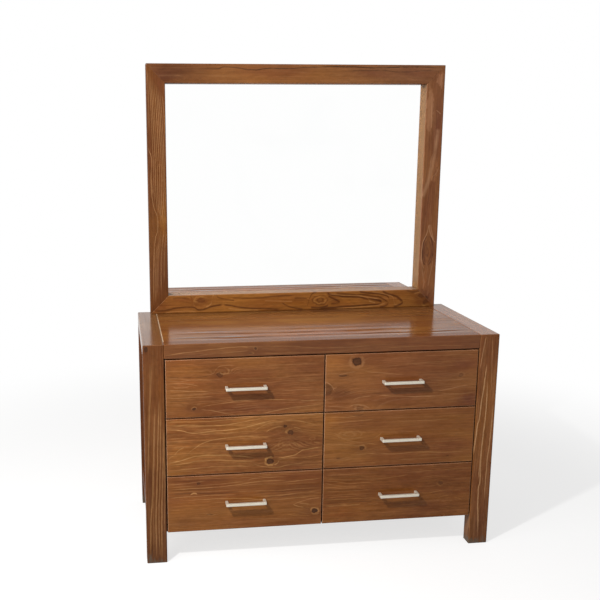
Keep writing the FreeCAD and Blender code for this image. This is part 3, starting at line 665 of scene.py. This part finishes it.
rightTopRail = {
    "node": "right_top_rail", "grain": "y", "face": "z", "seed": 16, "gap": 0.009, "bend": 0.018,
    "heart": (0.760, 0.560), "lines": 0.35, "tint": (1.12, 1.14, 1.14), "coat": 0.74, "coatRoughness": 0.16,
    "coatStreak": 0.5, "coarse": 0.5, "strands": 0.4,
}
for board in (leftFrontLeg, rightFrontLeg, leftRearLeg, rightRearLeg, leftTopRail, rightTopRail):
    layWood(board, stainedPine)
print("legs and side strips stained")

# the top, its front edge, and the closed sides
topFrontEdge = {
    "node": "top_front_edge", "grain": "x", "face": "y", "seed": 21, "gap": 0.0085, "bend": 0.03,
    "heart": (0.600, -0.300), "lean": 0.03, "lines": 0.5, "tint": (0.67, 0.61, 0.52), "coat": 0.5,
    "coatRoughness": 0.18, "coarse": 0.48, "coatStreak": 0.5,
    "patches": [
        (380, 736, 260, 60, (1.22, 1.20, 1.12)), (-470, 736, 120, 60, (0.92, 0.90, 0.94)),
    ],
    "knots": [
        knot(-233, 739, 3.4, 12, 6, 0.8, 0.3), knot(-248, 722, 2.2, 12, 4, 0.4, 0.5, slim=2.5),
    ],
    "threads": [
        (0.75, 2.6, -532, 724, -480, 730, -420, 735, -360, 741, -300, 745, -200, 743),
        (0.5, 2.2, -420, 722, -330, 727, -250, 732), (0.4, 2.2, -215, 746, -120, 742, 20, 732, 160, 734),
        (0.35, 2.2, -210, 722, -80, 719, 80, 722), (0.35, 2.2, 200, 722, 330, 728, 480, 724),
    ],
}
topBoards = {
    "node": "top_boards", "grain": "x", "face": "z", "seed": 22, "gap": 0.009, "bend": 0.03,
    "heart": (0.0, 0.660), "lean": 0.02, "lines": 0.35, "courses": ("y", -0.219, 0.098), "vary": 0.16,
    "tint": (0.86, 0.86, 0.80), "coat": 0.53, "coatStreak": 0.6, "coatRoughness": 0.16, "coarse": 0.4,
    "strands": 0.3, "darkColour": (0.060, 0.034, 0.022), "gaps": 0.8, "waver": 0.010,
    # a pale line along the seam with the left strip
    "rubbed": ("x", -0.533, -0.529), "rubbedColour": (0.560, 0.400, 0.250),
    # the patches in the back half are painted light and shade: paler where the mirror throws the key lamp
    # back onto the top, darker in a strip just in front of the mirror and towards both sides
    "patches": [
        (-140, 70, 190, 75, (1.20, 1.37, 1.56)), (0, 205, 800, 42, (0.66, 0.70, 0.78)),
        (0, 100, 800, 90, (1.0, 1.10, 1.28)), (0, -160, 300, 80, (1.24, 1.06, 0.72)),
        (340, 80, 170, 110, (0.86, 0.84, 0.88)), (-470, 60, 60, 90, (0.86, 0.84, 0.86)),
    ],
    "sheen": [
        (0.60, 16, -520, -100, -300, -96, -100, -112, 520, -100),
        (0.75, 14, -520, -160, -300, -168, -150, -158, 100, -168, 520, -158),
        (0.70, 14, -520, -212, -250, -206, 0, -214, 250, -205, 520, -212),
        (0.80, 10, -520, -246, 520, -246), (0.30, 16, -520, -60, -200, -56, 250, -64),
        (0.60, 130, -590, 170, 0, 160, 590, 170),
    ],
    "dull": [
        (0.90, 12, -500, -184, -380, -178, -300, -190, -200, -186, 0, -184, 260, -190, 520, -186),
        (0.60, 14, -500, -122, -340, -124, -200, -138, 0, -142, 250, -136, 420, -150),
        (0.50, 10, -500, -226, -320, -232, -100, -228, 200, -234),
        (0.40, 12, -480, -78, -200, -82, 100, -88, 300, -80), (0.25, 110, -280, -150, 0, -150, 300, -150),
    ],
    "darkThreads": [
        (0.80, 8, -515, -180, -440, -174, -380, -184, -300, -178, -220, -190, -120, -184),
        (0.55, 8, -160, -186, 0, -182, 120, -190, 260, -186, 420, -194, 520, -190),
        (0.45, 7, -500, -122, -380, -124, -250, -128, -180, -140, 0, -142),
        (0.40, 7, -60, -136, 100, -138, 250, -134, 420, -150),
        (0.35, 6, -510, -206, -400, -210, -280, -204, -100, -212),
        (0.35, 5, -300, -228, -150, -232, 100, -226, 260, -232),
        (0.30, 6, -460, -86, -250, -90, -60, -88, 200, -94), (0.30, 5, -450, -244, -300, -240, -150, -246),
    ],
}
sidePanels = {
    "grain": "z", "face": "x", "gap": 0.010, "bend": 0.04, "lines": 0.8, "courses": ("y", -0.223, 0.115),
    "vary": 0.14, "tint": (0.46, 0.40, 0.50),
}
sideBottomRails = {
    "node": "side_bottom_rails", "grain": "y", "face": "x", "seed": 25, "gap": 0.009, "bend": 0.02,
    "heart": (0.060, 0.0), "tint": (0.50, 0.44, 0.52),
}
layWood(topFrontEdge, stainedPine)
layWood(topBoards, stainedPine)
for node, seed, heart in (("left_side_panel", 23, -0.66), ("right_side_panel", 24, 0.66)):
    layWood({**sidePanels, "node": node, "seed": seed, "heart": (0.01, heart)}, stainedPine)
layWood(sideBottomRails, stainedPine)
print("top and sides stained")

# the mirror's frame
mirrorTopRail = {
    "node": "mirror_top_rail", "grain": "x", "face": "y", "seed": 31, "gap": 0.016, "bend": 0.03,
    "heart": (1.780, 0.200), "lines": 0.30, "shading": 0.6, "tint": (0.82, 0.83, 0.90), "coarse": 0.55,
    "strands": 0.5,
    "patches": [
        (300, 1632, 140, 14, (0.86, 0.80, 0.86)), (470, 1640, 60, 20, (0.88, 0.78, 0.84)),
        (-480, 1622, 40, 12, (0.88, 0.80, 0.86)), (-100, 1625, 150, 14, (1.06, 1.05, 0.98)),
        (-470, 1634, 160, 60, (0.50, 0.48, 0.54)), (420, 1634, 180, 60, (1.08, 1.21, 1.72)),
    ],
    "darkThreads": [
        (0.65, 3.0, -370, 1656, -300, 1650, -270, 1656, -220, 1654, -165, 1647, -120, 1652, -60, 1652,
         20, 1657, 120, 1660),
        (0.8, 3.6, 60, 1659, 150, 1660, 300, 1657, 420, 1660, 540, 1655),
        (0.45, 3.6, 160, 1632, 200, 1645, 300, 1648, 400, 1642, 470, 1648, 540, 1645),
    ],
}
# its top face is painted cream as highlight, and its arrises are paler, partly wear and partly painted
# highlight
mirrorBottomRail = {
    "node": "mirror_bottom_rail", "grain": "x", "face": "y", "seed": 32, "gap": 0.0090, "bend": 0.030,
    "heart": (0.700, 0.230), "lean": 0.02, "lines": 0.45, "ripple": 0.008, "waver": 0.005, "strands": 0.5,
    "coarse": 0.8, "edge": (0.560, 0.350, 0.200), "wear": 0.32, "arris": 0.0034, "edgeTone": 0.8,
    "edgeStain": (0.300, 0.185, 0.115), "edgeFrom": 0.227, "tint": (1.04, 1.08, 0.78), "bendRate": 3.2,
    "gaps": 0.15, "fading": 0.05, "darkColour": (0.085, 0.026, 0.009),
    "threadColour": (0.420, 0.190, 0.085),
    "knots": [
        knot(97, 797, 8.4, 18, 20, 0.12, 0.2, ovals=2.5, nest=0.8, nestColour="shade", slim=1.6),
        knot(-362, 808, 7.4, 24, 24, 0.25, 0.3, slim=2), knot(515, 780, 9.5, 20, 14, 0.5, 0.5, slim=0.9),
        knot(500, 803, 6, 18, 12, 0.35, 0.3, slim=1.8),
    ],
    "patches": [
        (520, 795, 62, 60, (0.48, 0.35, 0.46)), (-530, 785, 56, 40, (0.62, 0.50, 0.62)),
        (-420, 795, 200, 60, (0.81, 0.75, 0.88)), (330, 795, 130, 60, (0.90, 0.86, 1.04)),
        (-365, 803, 34, 18, (0.62, 0.50, 0.60)), (10, 780, 60, 14, (1.06, 1.06, 0.90)),
        (155, 797, 22, 10, (0.72, 0.66, 0.76)), (200, 790, 60, 8, (1.12, 1.10, 1.0)),
        (-430, 812, 30, 6, (0.80, 0.70, 0.84)),
    ],
    "darkThreads": [
        (0.95, 5.4, -540, 773, -517, 771, -489, 774, -442, 782, -398, 783, -382, 777, -365, 771,
         -349, 774, -318, 784, -277, 789),
        (0.90, 5.4, -280, 789, -260, 786, -213, 777, -161, 771, -100, 768, -60, 765),
        (0.67, 4.6, -249, 815, -222, 812, -180, 811, -139, 812, -70, 816, -4, 818),
        (0.62, 4.6, -304, 827, -296, 818, -280, 812, -263, 808, -235, 803),
        (0.56, 4.1, -470, 816, -440, 819, -405, 812),
        (0.78, 4.9, -52, 790, -36, 780, -20, 773, 0, 768, 30, 763),
        (0.67, 5.4, -402, 826, -398, 812, -396, 790), (0.67, 4.1, -4, 806, 20, 806, 46, 804),
        (0.84, 5.4, 46, 770, 50, 786, 56, 806, 66, 822, 84, 829),
        (0.95, 5.9, 60, 768, 97, 767, 119, 771, 130, 779),
        (1.00, 6.8, 119, 825, 144, 816, 167, 812, 194, 808, 222, 806, 250, 805, 272, 799, 292, 793),
        (1.00, 8.1, 286, 799, 314, 793, 333, 788, 342, 782),
        (1.00, 5.9, 342, 781, 326, 774, 306, 774, 286, 773, 250, 770, 194, 768, 139, 765, 90, 763),
        (0.84, 5.4, 156, 822, 194, 818, 236, 813, 278, 812, 306, 806, 328, 802, 350, 792, 369, 780),
        (0.84, 5.4, 369, 779, 358, 768, 333, 762),
        (0.95, 5.9, 250, 825, 292, 819, 333, 815, 361, 806, 372, 790, 374, 780),
        (0.95, 6.8, 342, 825, 369, 813, 400, 802, 417, 790, 427, 780),
        (0.95, 6.8, 427, 779, 411, 768, 389, 761), (0.90, 8.1, 400, 800, 412, 792, 420, 784),
        (0.90, 6.8, 128, 812, 145, 803, 160, 795, 176, 787), (0.67, 5.4, 140, 781, 158, 783, 176, 786),
        (0.67, 4.1, 440, 826, 470, 819, 490, 823),
    ],
    "threads": [
        (0.5, 3.4, -316, 826, -312, 808, -324, 795, -343, 784),
        (0.55, 3.2, -392, 820, -391, 800, -388, 784),
        (0.5, 3, 130, 820, 180, 814, 250, 809, 300, 800, 330, 795),
        (0.5, 3, 160, 762, 250, 764, 310, 768, 350, 776, 358, 784), (0.55, 3, 290, 787, 304, 784, 316, 781),
        (0.45, 3, 300, 824, 350, 814, 384, 802, 405, 788, 398, 770),
        (0.45, 3, -260, 774, -200, 767, -140, 763), (0.4, 3, -120, 800, -60, 797, -10, 795),
        (0.45, 2.6, 470, 812, 500, 818, 530, 826), (0.4, 3, -500, 762, -430, 768, -380, 762),
    ],
}
mirrorLeftStile = {
    "node": "mirror_left_stile", "grain": "z", "face": "y", "seed": 33, "gap": 0.0080, "bend": 0.03,
    "waver": 0.003, "heart": (-0.640, 0.200), "veer": 0.01, "start": 1.2, "lines": 0.35, "bendRate": 2.0,
    "tint": (0.51, 0.475, 0.415), "gaps": 0.3, "strands": 0.4, "coarse": 0.6,
    "threadColour": (0.520, 0.270, 0.120),
    "patches": [
        (1120, -500, 60, 12, (1.45, 1.55, 1.05)), (1300, -505, 220, 22, (1.16, 1.14, 0.94)),
        (880, -520, 140, 40, (0.84, 0.80, 1.10)), (1600, -500, 60, 14, (1.0, 0.92, 1.10)),
    ],
    "threads": [
        (0.8, 2.2, 790, -541, 900, -539, 1000, -535, 1050, -529, 1090, -520, 1120, -521, 1150, -531,
         1220, -541, 1300, -543),
        (0.6, 2.2, 800, -533, 900, -532, 970, -529, 1030, -521),
        (0.6, 2.2, 1150, -526, 1200, -531, 1300, -532, 1450, -535, 1640, -542),
        (0.8, 2.2, 1120, -516, 1160, -522, 1220, -525, 1300, -525, 1450, -529, 1630, -537),
        (0.7, 2.2, 1085, -508, 1120, -510, 1160, -516, 1220, -518, 1300, -518, 1450, -523, 1620, -531),
        (0.85, 2.2, 1080, -503, 1110, -504, 1150, -510, 1220, -511, 1300, -511, 1450, -516, 1610, -525),
        (0.85, 2.2, 1080, -497, 1100, -498, 1140, -503, 1200, -505, 1300, -504, 1450, -509, 1600, -518),
        (0.85, 2.2, 1085, -492, 1120, -494, 1180, -498, 1300, -498, 1450, -503, 1590, -511),
        (0.7, 2.2, 1150, -490, 1250, -492, 1400, -495, 1580, -504),
        (0.6, 2.2, 1300, -487, 1450, -489, 1570, -497),
        (0.5, 2.2, 820, -528, 900, -527, 980, -523, 1040, -515, 1075, -508),
        (0.5, 2.2, 880, -500, 960, -498, 1030, -494, 1070, -488),
        (0.75, 2.2, 1200, -536, 1280, -540, 1330, -538, 1360, -545, 1380, -552),
        (0.6, 2.2, 850, -512, 950, -510, 1030, -503, 1080, -495),
        (0.45, 2.2, 840, -524, 950, -521, 1020, -513, 1070, -506),
        (0.55, 2.2, 1440, -546, 1540, -545, 1650, -549),
    ],
}
# its side faces behind the front are coloured greyer than the stain
mirrorRightStile = {
    "node": "mirror_right_stile", "grain": "z", "face": "y", "seed": 34, "gap": 0.0100, "bend": 0.02,
    "heart": (0.440, 0.160), "lean": 0.02, "start": 1.2, "lines": 0.3, "tint": (0.88, 0.90, 1.14),
    "strands": 0.5, "coarse": 0.6, "fading": 0.04, "threadColour": (0.470, 0.240, 0.095),
    "darkColour": (0.085, 0.026, 0.009), "edgeTone": 0.8, "edgeStain": (0.225, 0.118, 0.044),
    "edgeFrom": 0.227,
    "knots": [
        knot(975, 514, 6.4, 20, 16, 0.12, 0, ovals=1.4, nest=0.6, nestColour="shade", slim=2.6),
        knot(790, 519, 6.4, 16, 12, 0.7, 0.2, slim=1.8), knot(770, 500, 5, 14, 8, 0.5, 0, slim=2),
    ],
    "patches": [
        (1500, 518, 140, 50, (0.98, 1.02, 1.22)), (790, 520, 45, 40, (0.70, 0.62, 0.72)),
        (855, 510, 26, 12, (1.22, 1.18, 1.18)), (1505, 500, 80, 14, (1.42, 1.62, 2.00), "firm"),
        (1614, 540.5, 31, 4.6, (1.52, 1.76, 2.30), "firm"), (1613, 532, 21, 4, (1.50, 1.74, 2.26), "firm"),
        (1611, 524.5, 11, 4, (1.46, 1.70, 2.10), "firm"), (1290, 526, 50, 13, (1.32, 1.46, 1.62), "firm"),
        (1450, 535, 90, 14, (0.90, 0.82, 0.90)), (1130, 505, 60, 20, (0.90, 0.84, 0.90)),
    ],
    "darkThreads": [
        (0.9, 4, 922, 515, 932, 504, 952, 498, 980, 496, 1010, 499, 1030, 506, 1037, 515),
        (0.9, 4, 922, 516, 932, 528, 952, 535, 980, 538, 1008, 534, 1030, 526, 1037, 516),
        (0.7, 3, 932, 515, 945, 506, 975, 502, 1005, 506, 1018, 515),
        (0.7, 3, 932, 516, 945, 526, 975, 531, 1005, 526, 1018, 516),
        (0.5, 4, 770, 500, 800, 508, 830, 500), (0.5, 4, 780, 540, 800, 530, 815, 536),
        (0.35, 3, 1110, 500, 1180, 510, 1260, 526, 1300, 540),
    ],
    "threads": [
        (0.85, 2.6, 910, 506, 930, 497, 960, 492, 1000, 493, 1030, 503, 1050, 511, 1080, 516),
        (0.8, 2.6, 1080, 518, 1055, 522, 1035, 529, 1010, 545),
        (0.45, 12, 1180, 486, 1210, 495, 1250, 508, 1290, 516, 1340, 525, 1440, 534),
        (0.6, 3, 1190, 487, 1230, 500, 1270, 510, 1330, 514, 1360, 526, 1440, 533),
        (0.45, 2.2, 1245, 517, 1262, 523, 1272, 535, 1300, 546),
        (0.4, 2.2, 1440, 509, 1500, 507, 1560, 503), (0.6, 3, 1492, 543, 1500, 534, 1506, 525),
        (0.3, 2.6, 830, 498, 850, 507, 870, 504, 900, 510), (0.4, 2.2, 840, 525, 880, 530, 940, 541),
        (0.3, 4, 850, 512, 880, 503, 915, 497, 950, 489), (0.5, 3, 1080, 524, 1050, 530, 1020, 538),
    ],
}
for board in (mirrorTopRail, mirrorBottomRail, mirrorLeftStile, mirrorRightStile):
    layWood(board, stainedPine)
print("mirror frame stained")

# what the stain doesn't reach
bareBoards = {
    # the fronts of the divider and the front rails are stained and painted near black, as shade in the gaps
    "centre_divider": {"grain": "z", "face": "x", "heart": (0.0, 0.090), "courses": ("y", -0.240, 0.121),
                       "stainedTo": -0.215},
    "front_rails": {"grain": "x", "face": "z", "heart": (-0.220, 0.450), "courses": ("z", 0.06, 0.201),
                    "stainedTo": -0.215},
    "rear_rails": {"grain": "x", "face": "y", "heart": (0.400, 0.340), "courses": ("z", 0.1, 0.32)},
    "drawer_runners": {"grain": "y", "face": "x", "heart": (0.250, 0.0), "courses": ("z", 0.1, 0.201)},
    "mirror_battens": {"grain": "z", "face": "y", "heart": (0.0, 0.350), "courses": ("x", -0.7, 0.7)},
}
for number, (node, board) in enumerate(bareBoards.items()):
    layWood({"node": node, "seed": 41 + number, "gap": 0.008, "bend": 0.03, "vary": 0.1, **board}, barePine)
drawers = [name for name in frame["bodies"] if name.endswith("_drawer")]
boxBoards = {"gap": 0.007, "bend": 0.03, "vary": 0.1}
drawerSides = {**boxBoards, "grain": "y", "face": "x", "courses": ("x", -0.55, 0.275)}
drawerEnds = {**boxBoards, "grain": "x", "face": "y", "courses": ("y", -0.3, 0.3)}
for number, drawer in enumerate(sorted(drawers)):
    low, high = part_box(drawer + "_sides")
    middle = (low.z + high.z) / 2
    layWood({**drawerSides, "node": drawer + "_sides", "seed": 51 + number,
             "heart": (middle - 0.03, 0.1)}, barePine)
    layWood({**drawerEnds, "node": drawer + "_ends", "seed": 61 + number,
             "heart": (middle + 0.05, 0.35)}, barePine)
print("bare timber finished")

plywood = {
    "pale": (0.520, 0.345, 0.170), "warm": (0.430, 0.265, 0.115), "figure": (0.350, 0.205, 0.082),
    "glue": (0.200, 0.105, 0.045), "pliesInMetre": 500.0,
}


def layPlywood(node, face, seed):
    material, finish = newFinish(node + "_plywood")
    here = objectAxes(finish)
    along, across = (here["z"], here["x"]) if face == "y" else (here["x"], here["y"])
    point = finish.node("CombineXYZ", sockets={0: along + seed * 2.3, 1: across + seed * 1.9, 2: seed * 0.7})
    # a peeled veneer cuts the rings so flat that they show as wide, wandering contours
    contour = point.clouds((1.3, 4.2, 1.0), 2.0, 0.4) * 9.0
    ring = finish.maths("FRACT", contour).ramp((0.0, 0.0), (0.5, 0.15), (0.85, 1.0), (1.0, 0.0))
    fibre = point.clouds((9.0, 380.0, 1.0))
    patch = point.clouds((2.0, 5.0, 1.0)).between(0.3, 0.7)
    colour = finish.mix(patch, plywood["pale"], plywood["warm"]).toward(ring * 0.45, plywood["figure"])
    colour = colour.toward(1.0, (fibre - 0.5) * 0.16 + 1.0, "MULTIPLY")
    edge = 1.0 - turnedTo(finish, face).between(0.5, 0.9)
    plies = finish.maths("FRACT", here[face] * plywood["pliesInMetre"]).between(0.35, 0.6)
    colour = colour.toward(edge * plies * 0.7, plywood["glue"])
    surface(finish, {
        "Base Color": colour, "Roughness": fibre * 0.2 + 0.6, "Normal": fibre.bumped(0.2, 0.0003),
        "Specular IOR Level": 0.25,
    })
    dress(node, material)


layPlywood("back_panel", "y", 1.0)
layPlywood("mirror_backing", "y", 2.0)
for number, drawer in enumerate(sorted(drawers)):
    layPlywood(drawer + "_bottom", "z", 3.0 + number)
print("plywood finished")

# handles, brushed along their bars
satinNickel = {"colour": (0.680, 0.630, 0.525), "worn": (0.600, 0.550, 0.450), "roughness": 0.36,
               "arris": 0.0008}
material, finish = newFinish("satin_nickel_plate")
spot = finish.node("TexCoord", output="Object")
brushing = spot.clouds((14.0, 1400.0, 1400.0))
breath = spot.clouds((60.0, 60.0, 60.0)).between(0.35, 0.7)
soft = finish.node("Bevel", {"samples": 4}, {"Radius": satinNickel["arris"]})
surface(finish, {
    "Base Color": finish.mix(breath * 0.5, satinNickel["colour"], satinNickel["worn"]), "Metallic": 0.4,
    "Roughness": (brushing - 0.5) * 0.14 + breath * 0.05 + satinNickel["roughness"],
    "Normal": brushing.bumped(0.12, 0.0001, soft),
})
for drawer in drawers:
    dress(drawer + "_handle", material)

# zinc, with its faint blue and straw bloom
zincSteel = {"colour": (0.560, 0.570, 0.590), "bloom": (0.600, 0.560, 0.470), "roughness": 0.36}
zinc, finish = newFinish("zinc_plated_steel")
spot = finish.node("TexCoord", output="Object")
bloom = spot.clouds((260.0, 260.0, 260.0)).between(0.35, 0.7)
scratch = spot.clouds((900.0, 900.0, 2500.0))
surface(finish, {
    "Base Color": finish.mix(bloom * 0.6, zincSteel["colour"], zincSteel["bloom"]), "Metallic": 1.0,
    "Roughness": (scratch - 0.5) * 0.2 + zincSteel["roughness"],
    "Normal": scratch.bumped(0.1, 0.0001),
})

# silvered glass
mirrorGlass = {"silver": (0.990, 0.993, 0.991), "dust": (0.975, 0.980, 0.978), "smeared": 0.012}
material, finish = newFinish("silvered_glass")
smear = finish.node("TexCoord", output="Object").clouds((2.5, 2.5, 4.0), 3.0, 0.6).between(0.45, 0.8)
surface(finish, {
    "Base Color": finish.mix(smear, mirrorGlass["silver"], mirrorGlass["dust"]), "Metallic": 1.0,
    "Roughness": smear * mirrorGlass["smeared"],
})
dress("mirror_glass", material)
print("metal and glass finished")

# screws: a lathed pan head with a crossed recess, on a plain shank that points to the front
panHead = {"recessDepth": 0.0016, "steps": 28, "sharpFrom": 35}


def lathe(outline, steps):
    work = bmesh.new()
    ring = [work.verts.new((radius, height, 0.0)) for radius, height in outline]
    edges = [work.edges.new(pair) for pair in zip(ring, ring[1:])]
    bmesh.ops.spin(work, geom=ring + edges, axis=(0, 1, 0), cent=(0, 0, 0), angle=math.tau, steps=steps)
    bmesh.ops.remove_doubles(work, verts=work.verts, dist=0.00001)
    bmesh.ops.recalc_face_normals(work, faces=work.faces)
    return work


def prism(work, near, far):
    # two like outlines, closed, with a face between each pair of their edges
    near, far = ([work.verts.new(corner) for corner in outline] for outline in (near, far))
    work.faces.new(near)
    work.faces.new(far[::-1])
    for number in range(len(near)):
        after = (number + 1) % len(near)
        work.faces.new((near[number], far[number], far[after], near[after]))


def crossCutter(radius, top, depth):
    # a four-armed wedge that narrows towards its point
    arm, half = radius * 0.56, radius * 0.13
    outline = []
    for turn in range(4):
        spin = Matrix.Rotation(-turn * math.pi / 2, 2)
        outline += [tuple(spin @ Vector(corner)) for corner in ((half, half), (arm, half), (arm, -half))]
    work = bmesh.new()
    prism(work, [(x, top + 0.0004, z) for x, z in outline],
          [(x * 0.4, top - depth, z * 0.4) for x, z in outline])
    bmesh.ops.recalc_face_normals(work, faces=work.faces)
    return work


def asObject(work, name):
    mesh = bpy.data.meshes.new(name)
    work.to_mesh(mesh)
    work.free()
    made = bpy.data.objects.new(name, mesh)
    scene.collection.objects.link(made)
    return made


def screwMesh(screw, length):
    head, rise, shank = screw["head"], screw["rise"], screw["shank"]
    outline = [(0.0, rise), (head * 0.45, rise * 0.98), (head * 0.75, rise * 0.86), (head * 0.93, rise * 0.6),
               (head, rise * 0.3), (head * 0.97, 0.0), (shank, 0.0), (shank, -length + shank), (0.0, -length)]
    body = asObject(lathe(outline, panHead["steps"]), "screw_blank")
    cutter = asObject(crossCutter(head, rise, min(panHead["recessDepth"], rise * 0.7)), "recess_cutter")
    cut = body.modifiers.new("recess", "BOOLEAN")
    cut.object = cutter
    cut.operation = "DIFFERENCE"
    cut.solver = "EXACT"
    bpy.context.view_layer.update()
    mesh = bpy.data.meshes.new_from_object(body.evaluated_get(bpy.context.evaluated_depsgraph_get()))
    bpy.data.objects.remove(cutter)
    bpy.data.objects.remove(body)
    return mesh


def placeScrews(name, mesh, spots, body, node):
    # each one is turned a little further than the last
    work = bmesh.new()
    for number, spot in enumerate(spots):
        before = len(work.verts)
        work.from_mesh(mesh)
        work.verts.ensure_lookup_table()
        turned = Matrix.Translation(spot) @ Matrix.Rotation(0.7 + number * 1.9, 4, "Y")
        bmesh.ops.transform(work, matrix=turned, verts=work.verts[before:])
    made = asObject(work, name)
    for face in made.data.polygons:
        face.use_smooth = True
    made.data.set_sharp_from_angle(angle=math.radians(panHead["sharpFrom"]))
    made.data.materials.append(zinc)
    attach(made, body)
    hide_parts(node)


handleScrew = {"head": 0.004, "rise": 0.0026, "shank": 0.002, "seat": -0.227, "apart": 0.128}
mesh = screwMesh(handleScrew, handleScrew["seat"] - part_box("upper_left_drawer_handle_screws")[0].y)
for drawer in drawers:
    low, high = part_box(drawer + "_handle_screws")
    middle = (low + high) / 2
    spots = [Vector((middle.x + side * handleScrew["apart"] / 2, handleScrew["seat"], middle.z))
             for side in (-1, 1)]
    placeScrews(drawer.replace("_drawer", "_pan_head_screws"), mesh, spots, drawer, drawer + "_handle_screws")

battenScrew = {"head": 0.0045, "rise": 0.002, "shank": 0.00225, "seat": 0.289, "across": 0.519,
               "heights": (0.693, 0.723, 0.896, 1.246)}
mesh = screwMesh(battenScrew, battenScrew["seat"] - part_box("mirror_screws")[0].y)
spots = [Vector((side * battenScrew["across"], battenScrew["seat"], height))
         for side in (-1, 1) for height in battenScrew["heights"]]
placeScrews("batten_pan_head_screws", mesh, spots, "carcass", "mirror_screws")

# framer's points hold the backing in its rebate
framersPoint = {"width": 0.007, "length": 0.014, "thickness": 0.0005, "corner": 0.002, "clear": 0.0001,
                "sunk": 0.003, "outside": 0.001, "along": 5, "up": 4}
low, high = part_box("mirror_backing")
work = bmesh.new()


def drivePoint(x, z, inward):
    # half its outline: how far in, and how far aside, in shares of its length and width
    sideways = Vector((inward.z, 0.0, inward.x)) * framersPoint["width"]
    base = Vector((x, high.y + framersPoint["clear"], z))
    base -= inward * (framersPoint["sunk"] + framersPoint["outside"])
    corner = 1 - framersPoint["corner"] / framersPoint["length"]
    half = [(0.0, 0.1), (0.4, 0.5), (corner, 0.5), (1.0, 0.3)]
    outline = half + [(deep, -aside) for deep, aside in reversed(half)]
    near = [base + inward * (framersPoint["length"] * deep) + sideways * aside for deep, aside in outline]
    prism(work, near, [spot + Vector((0.0, framersPoint["thickness"], 0.0)) for spot in near])


for number in range(framersPoint["along"]):
    x = low.x + (high.x - low.x) * (number + 0.5) / framersPoint["along"]
    drivePoint(x, high.z, Vector((0, 0, -1)))
    drivePoint(x, low.z, Vector((0, 0, 1)))
for number in range(framersPoint["up"]):
    z = low.z + (high.z - low.z) * (number + 0.5) / framersPoint["up"]
    drivePoint(low.x, z, Vector((1, 0, 0)))
    drivePoint(high.x, z, Vector((-1, 0, 0)))
bmesh.ops.recalc_face_normals(work, faces=work.faces)
points = asObject(work, "framers_points")
points.data.materials.append(zinc)
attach(points, "carcass")
print("screws and points in place")

# floor: pale, keeps the shadow near the dresser and runs out to white
floorLook = {"colour": (0.34, 0.335, 0.33), "lift": 0.70, "near": 1.1, "far": 2.6, "size": 30.0, "squares": 8}
white = (1.0, 1.0, 1.0, 1.0)
material, finish = newFinish("pale_floor")
shown = seenRays(finish)
spot = finish.node("TexCoord", output="Object")
away = spot.vectors("LENGTH", output="Value").between(floorLook["near"], floorLook["far"])
fleck = spot.clouds((40.0, 40.0, 1.0), 3.0)
tone = finish.mix(1.0, floorLook["colour"], fleck * 0.03 + 0.985, "MULTIPLY")
matt = finish.node("BsdfDiffuse", sockets={"Color": tone})
glow = finish.node("Emission", sockets={"Color": white, "Strength": shown * floorLook["lift"]})
blank = finish.node("Emission", sockets={"Color": white, "Strength": 1.0})
close = finish.node("AddShader", sockets={0: matt, 1: glow})
mixed = finish.node("MixShader", sockets={0: away * shown, 1: close, 2: blank})
finish.node("OutputMaterial", sockets={"Surface": mixed})
work = bmesh.new()
bmesh.ops.create_grid(work, x_segments=floorLook["squares"], y_segments=floorLook["squares"],
                      size=floorLook["size"])
floor = asObject(work, "floor")
floor.data.materials.append(material)

# plain studio light: a near lamp from the left, a wide soft one beside it, and a white room
room = {"ambient": 0.35}
world = bpy.data.worlds.new("white_room")
scene.world = world
world.use_nodes = True
world.node_tree.nodes.clear()
finish = Finish(world.node_tree)
strength = seenRays(finish) * (1 - room["ambient"]) + room["ambient"]
sky = finish.node("Background", sockets={"Color": white, "Strength": strength})
finish.node("OutputWorld", sockets={"Surface": sky})

lamps = {
    "key_lamp": {"at": (-1.50, -1.59, 2.44), "aim": (-0.10, -0.26, 0.55), "power": 63.0, "size": 0.12},
    "soft_lamp": {"at": (-2.70, -1.90, 1.50), "aim": (0.0, 0.0, 0.70), "power": 48.0, "size": 2.8},
}
for name, lamp in lamps.items():
    light = bpy.data.lights.new(name, "AREA")
    light.shape = "DISK"
    light.size = lamp["size"]
    light.energy = lamp["power"]
    held = bpy.data.objects.new(name, light)
    held.location = lamp["at"]
    held.rotation_euler = (Vector(lamp["aim"]) - Vector(lamp["at"])).to_track_quat("-Z", "Y").to_euler()
    held.visible_camera = False
    scene.collection.objects.link(held)

view = {"at": (-0.6713, -2.9337, 1.4228), "turn": -0.12167, "dip": 0.20949, "roll": -0.00334,
        "lens": 51.40, "shift": (0.1308, 0.0264)}
camera = bpy.data.objects.new("camera", bpy.data.cameras.new("camera"))
camera.data.lens = view["lens"]
camera.data.shift_x, camera.data.shift_y = view["shift"]
turned = Matrix.Rotation(view["turn"], 4, "Z") @ Matrix.Rotation(math.pi / 2 - view["dip"], 4, "X")
camera.matrix_world = Matrix.Translation(view["at"]) @ turned @ Matrix.Rotation(view["roll"], 4, "Z")
scene.collection.objects.link(camera)
scene.camera = camera
print("floor, lamps and camera set")
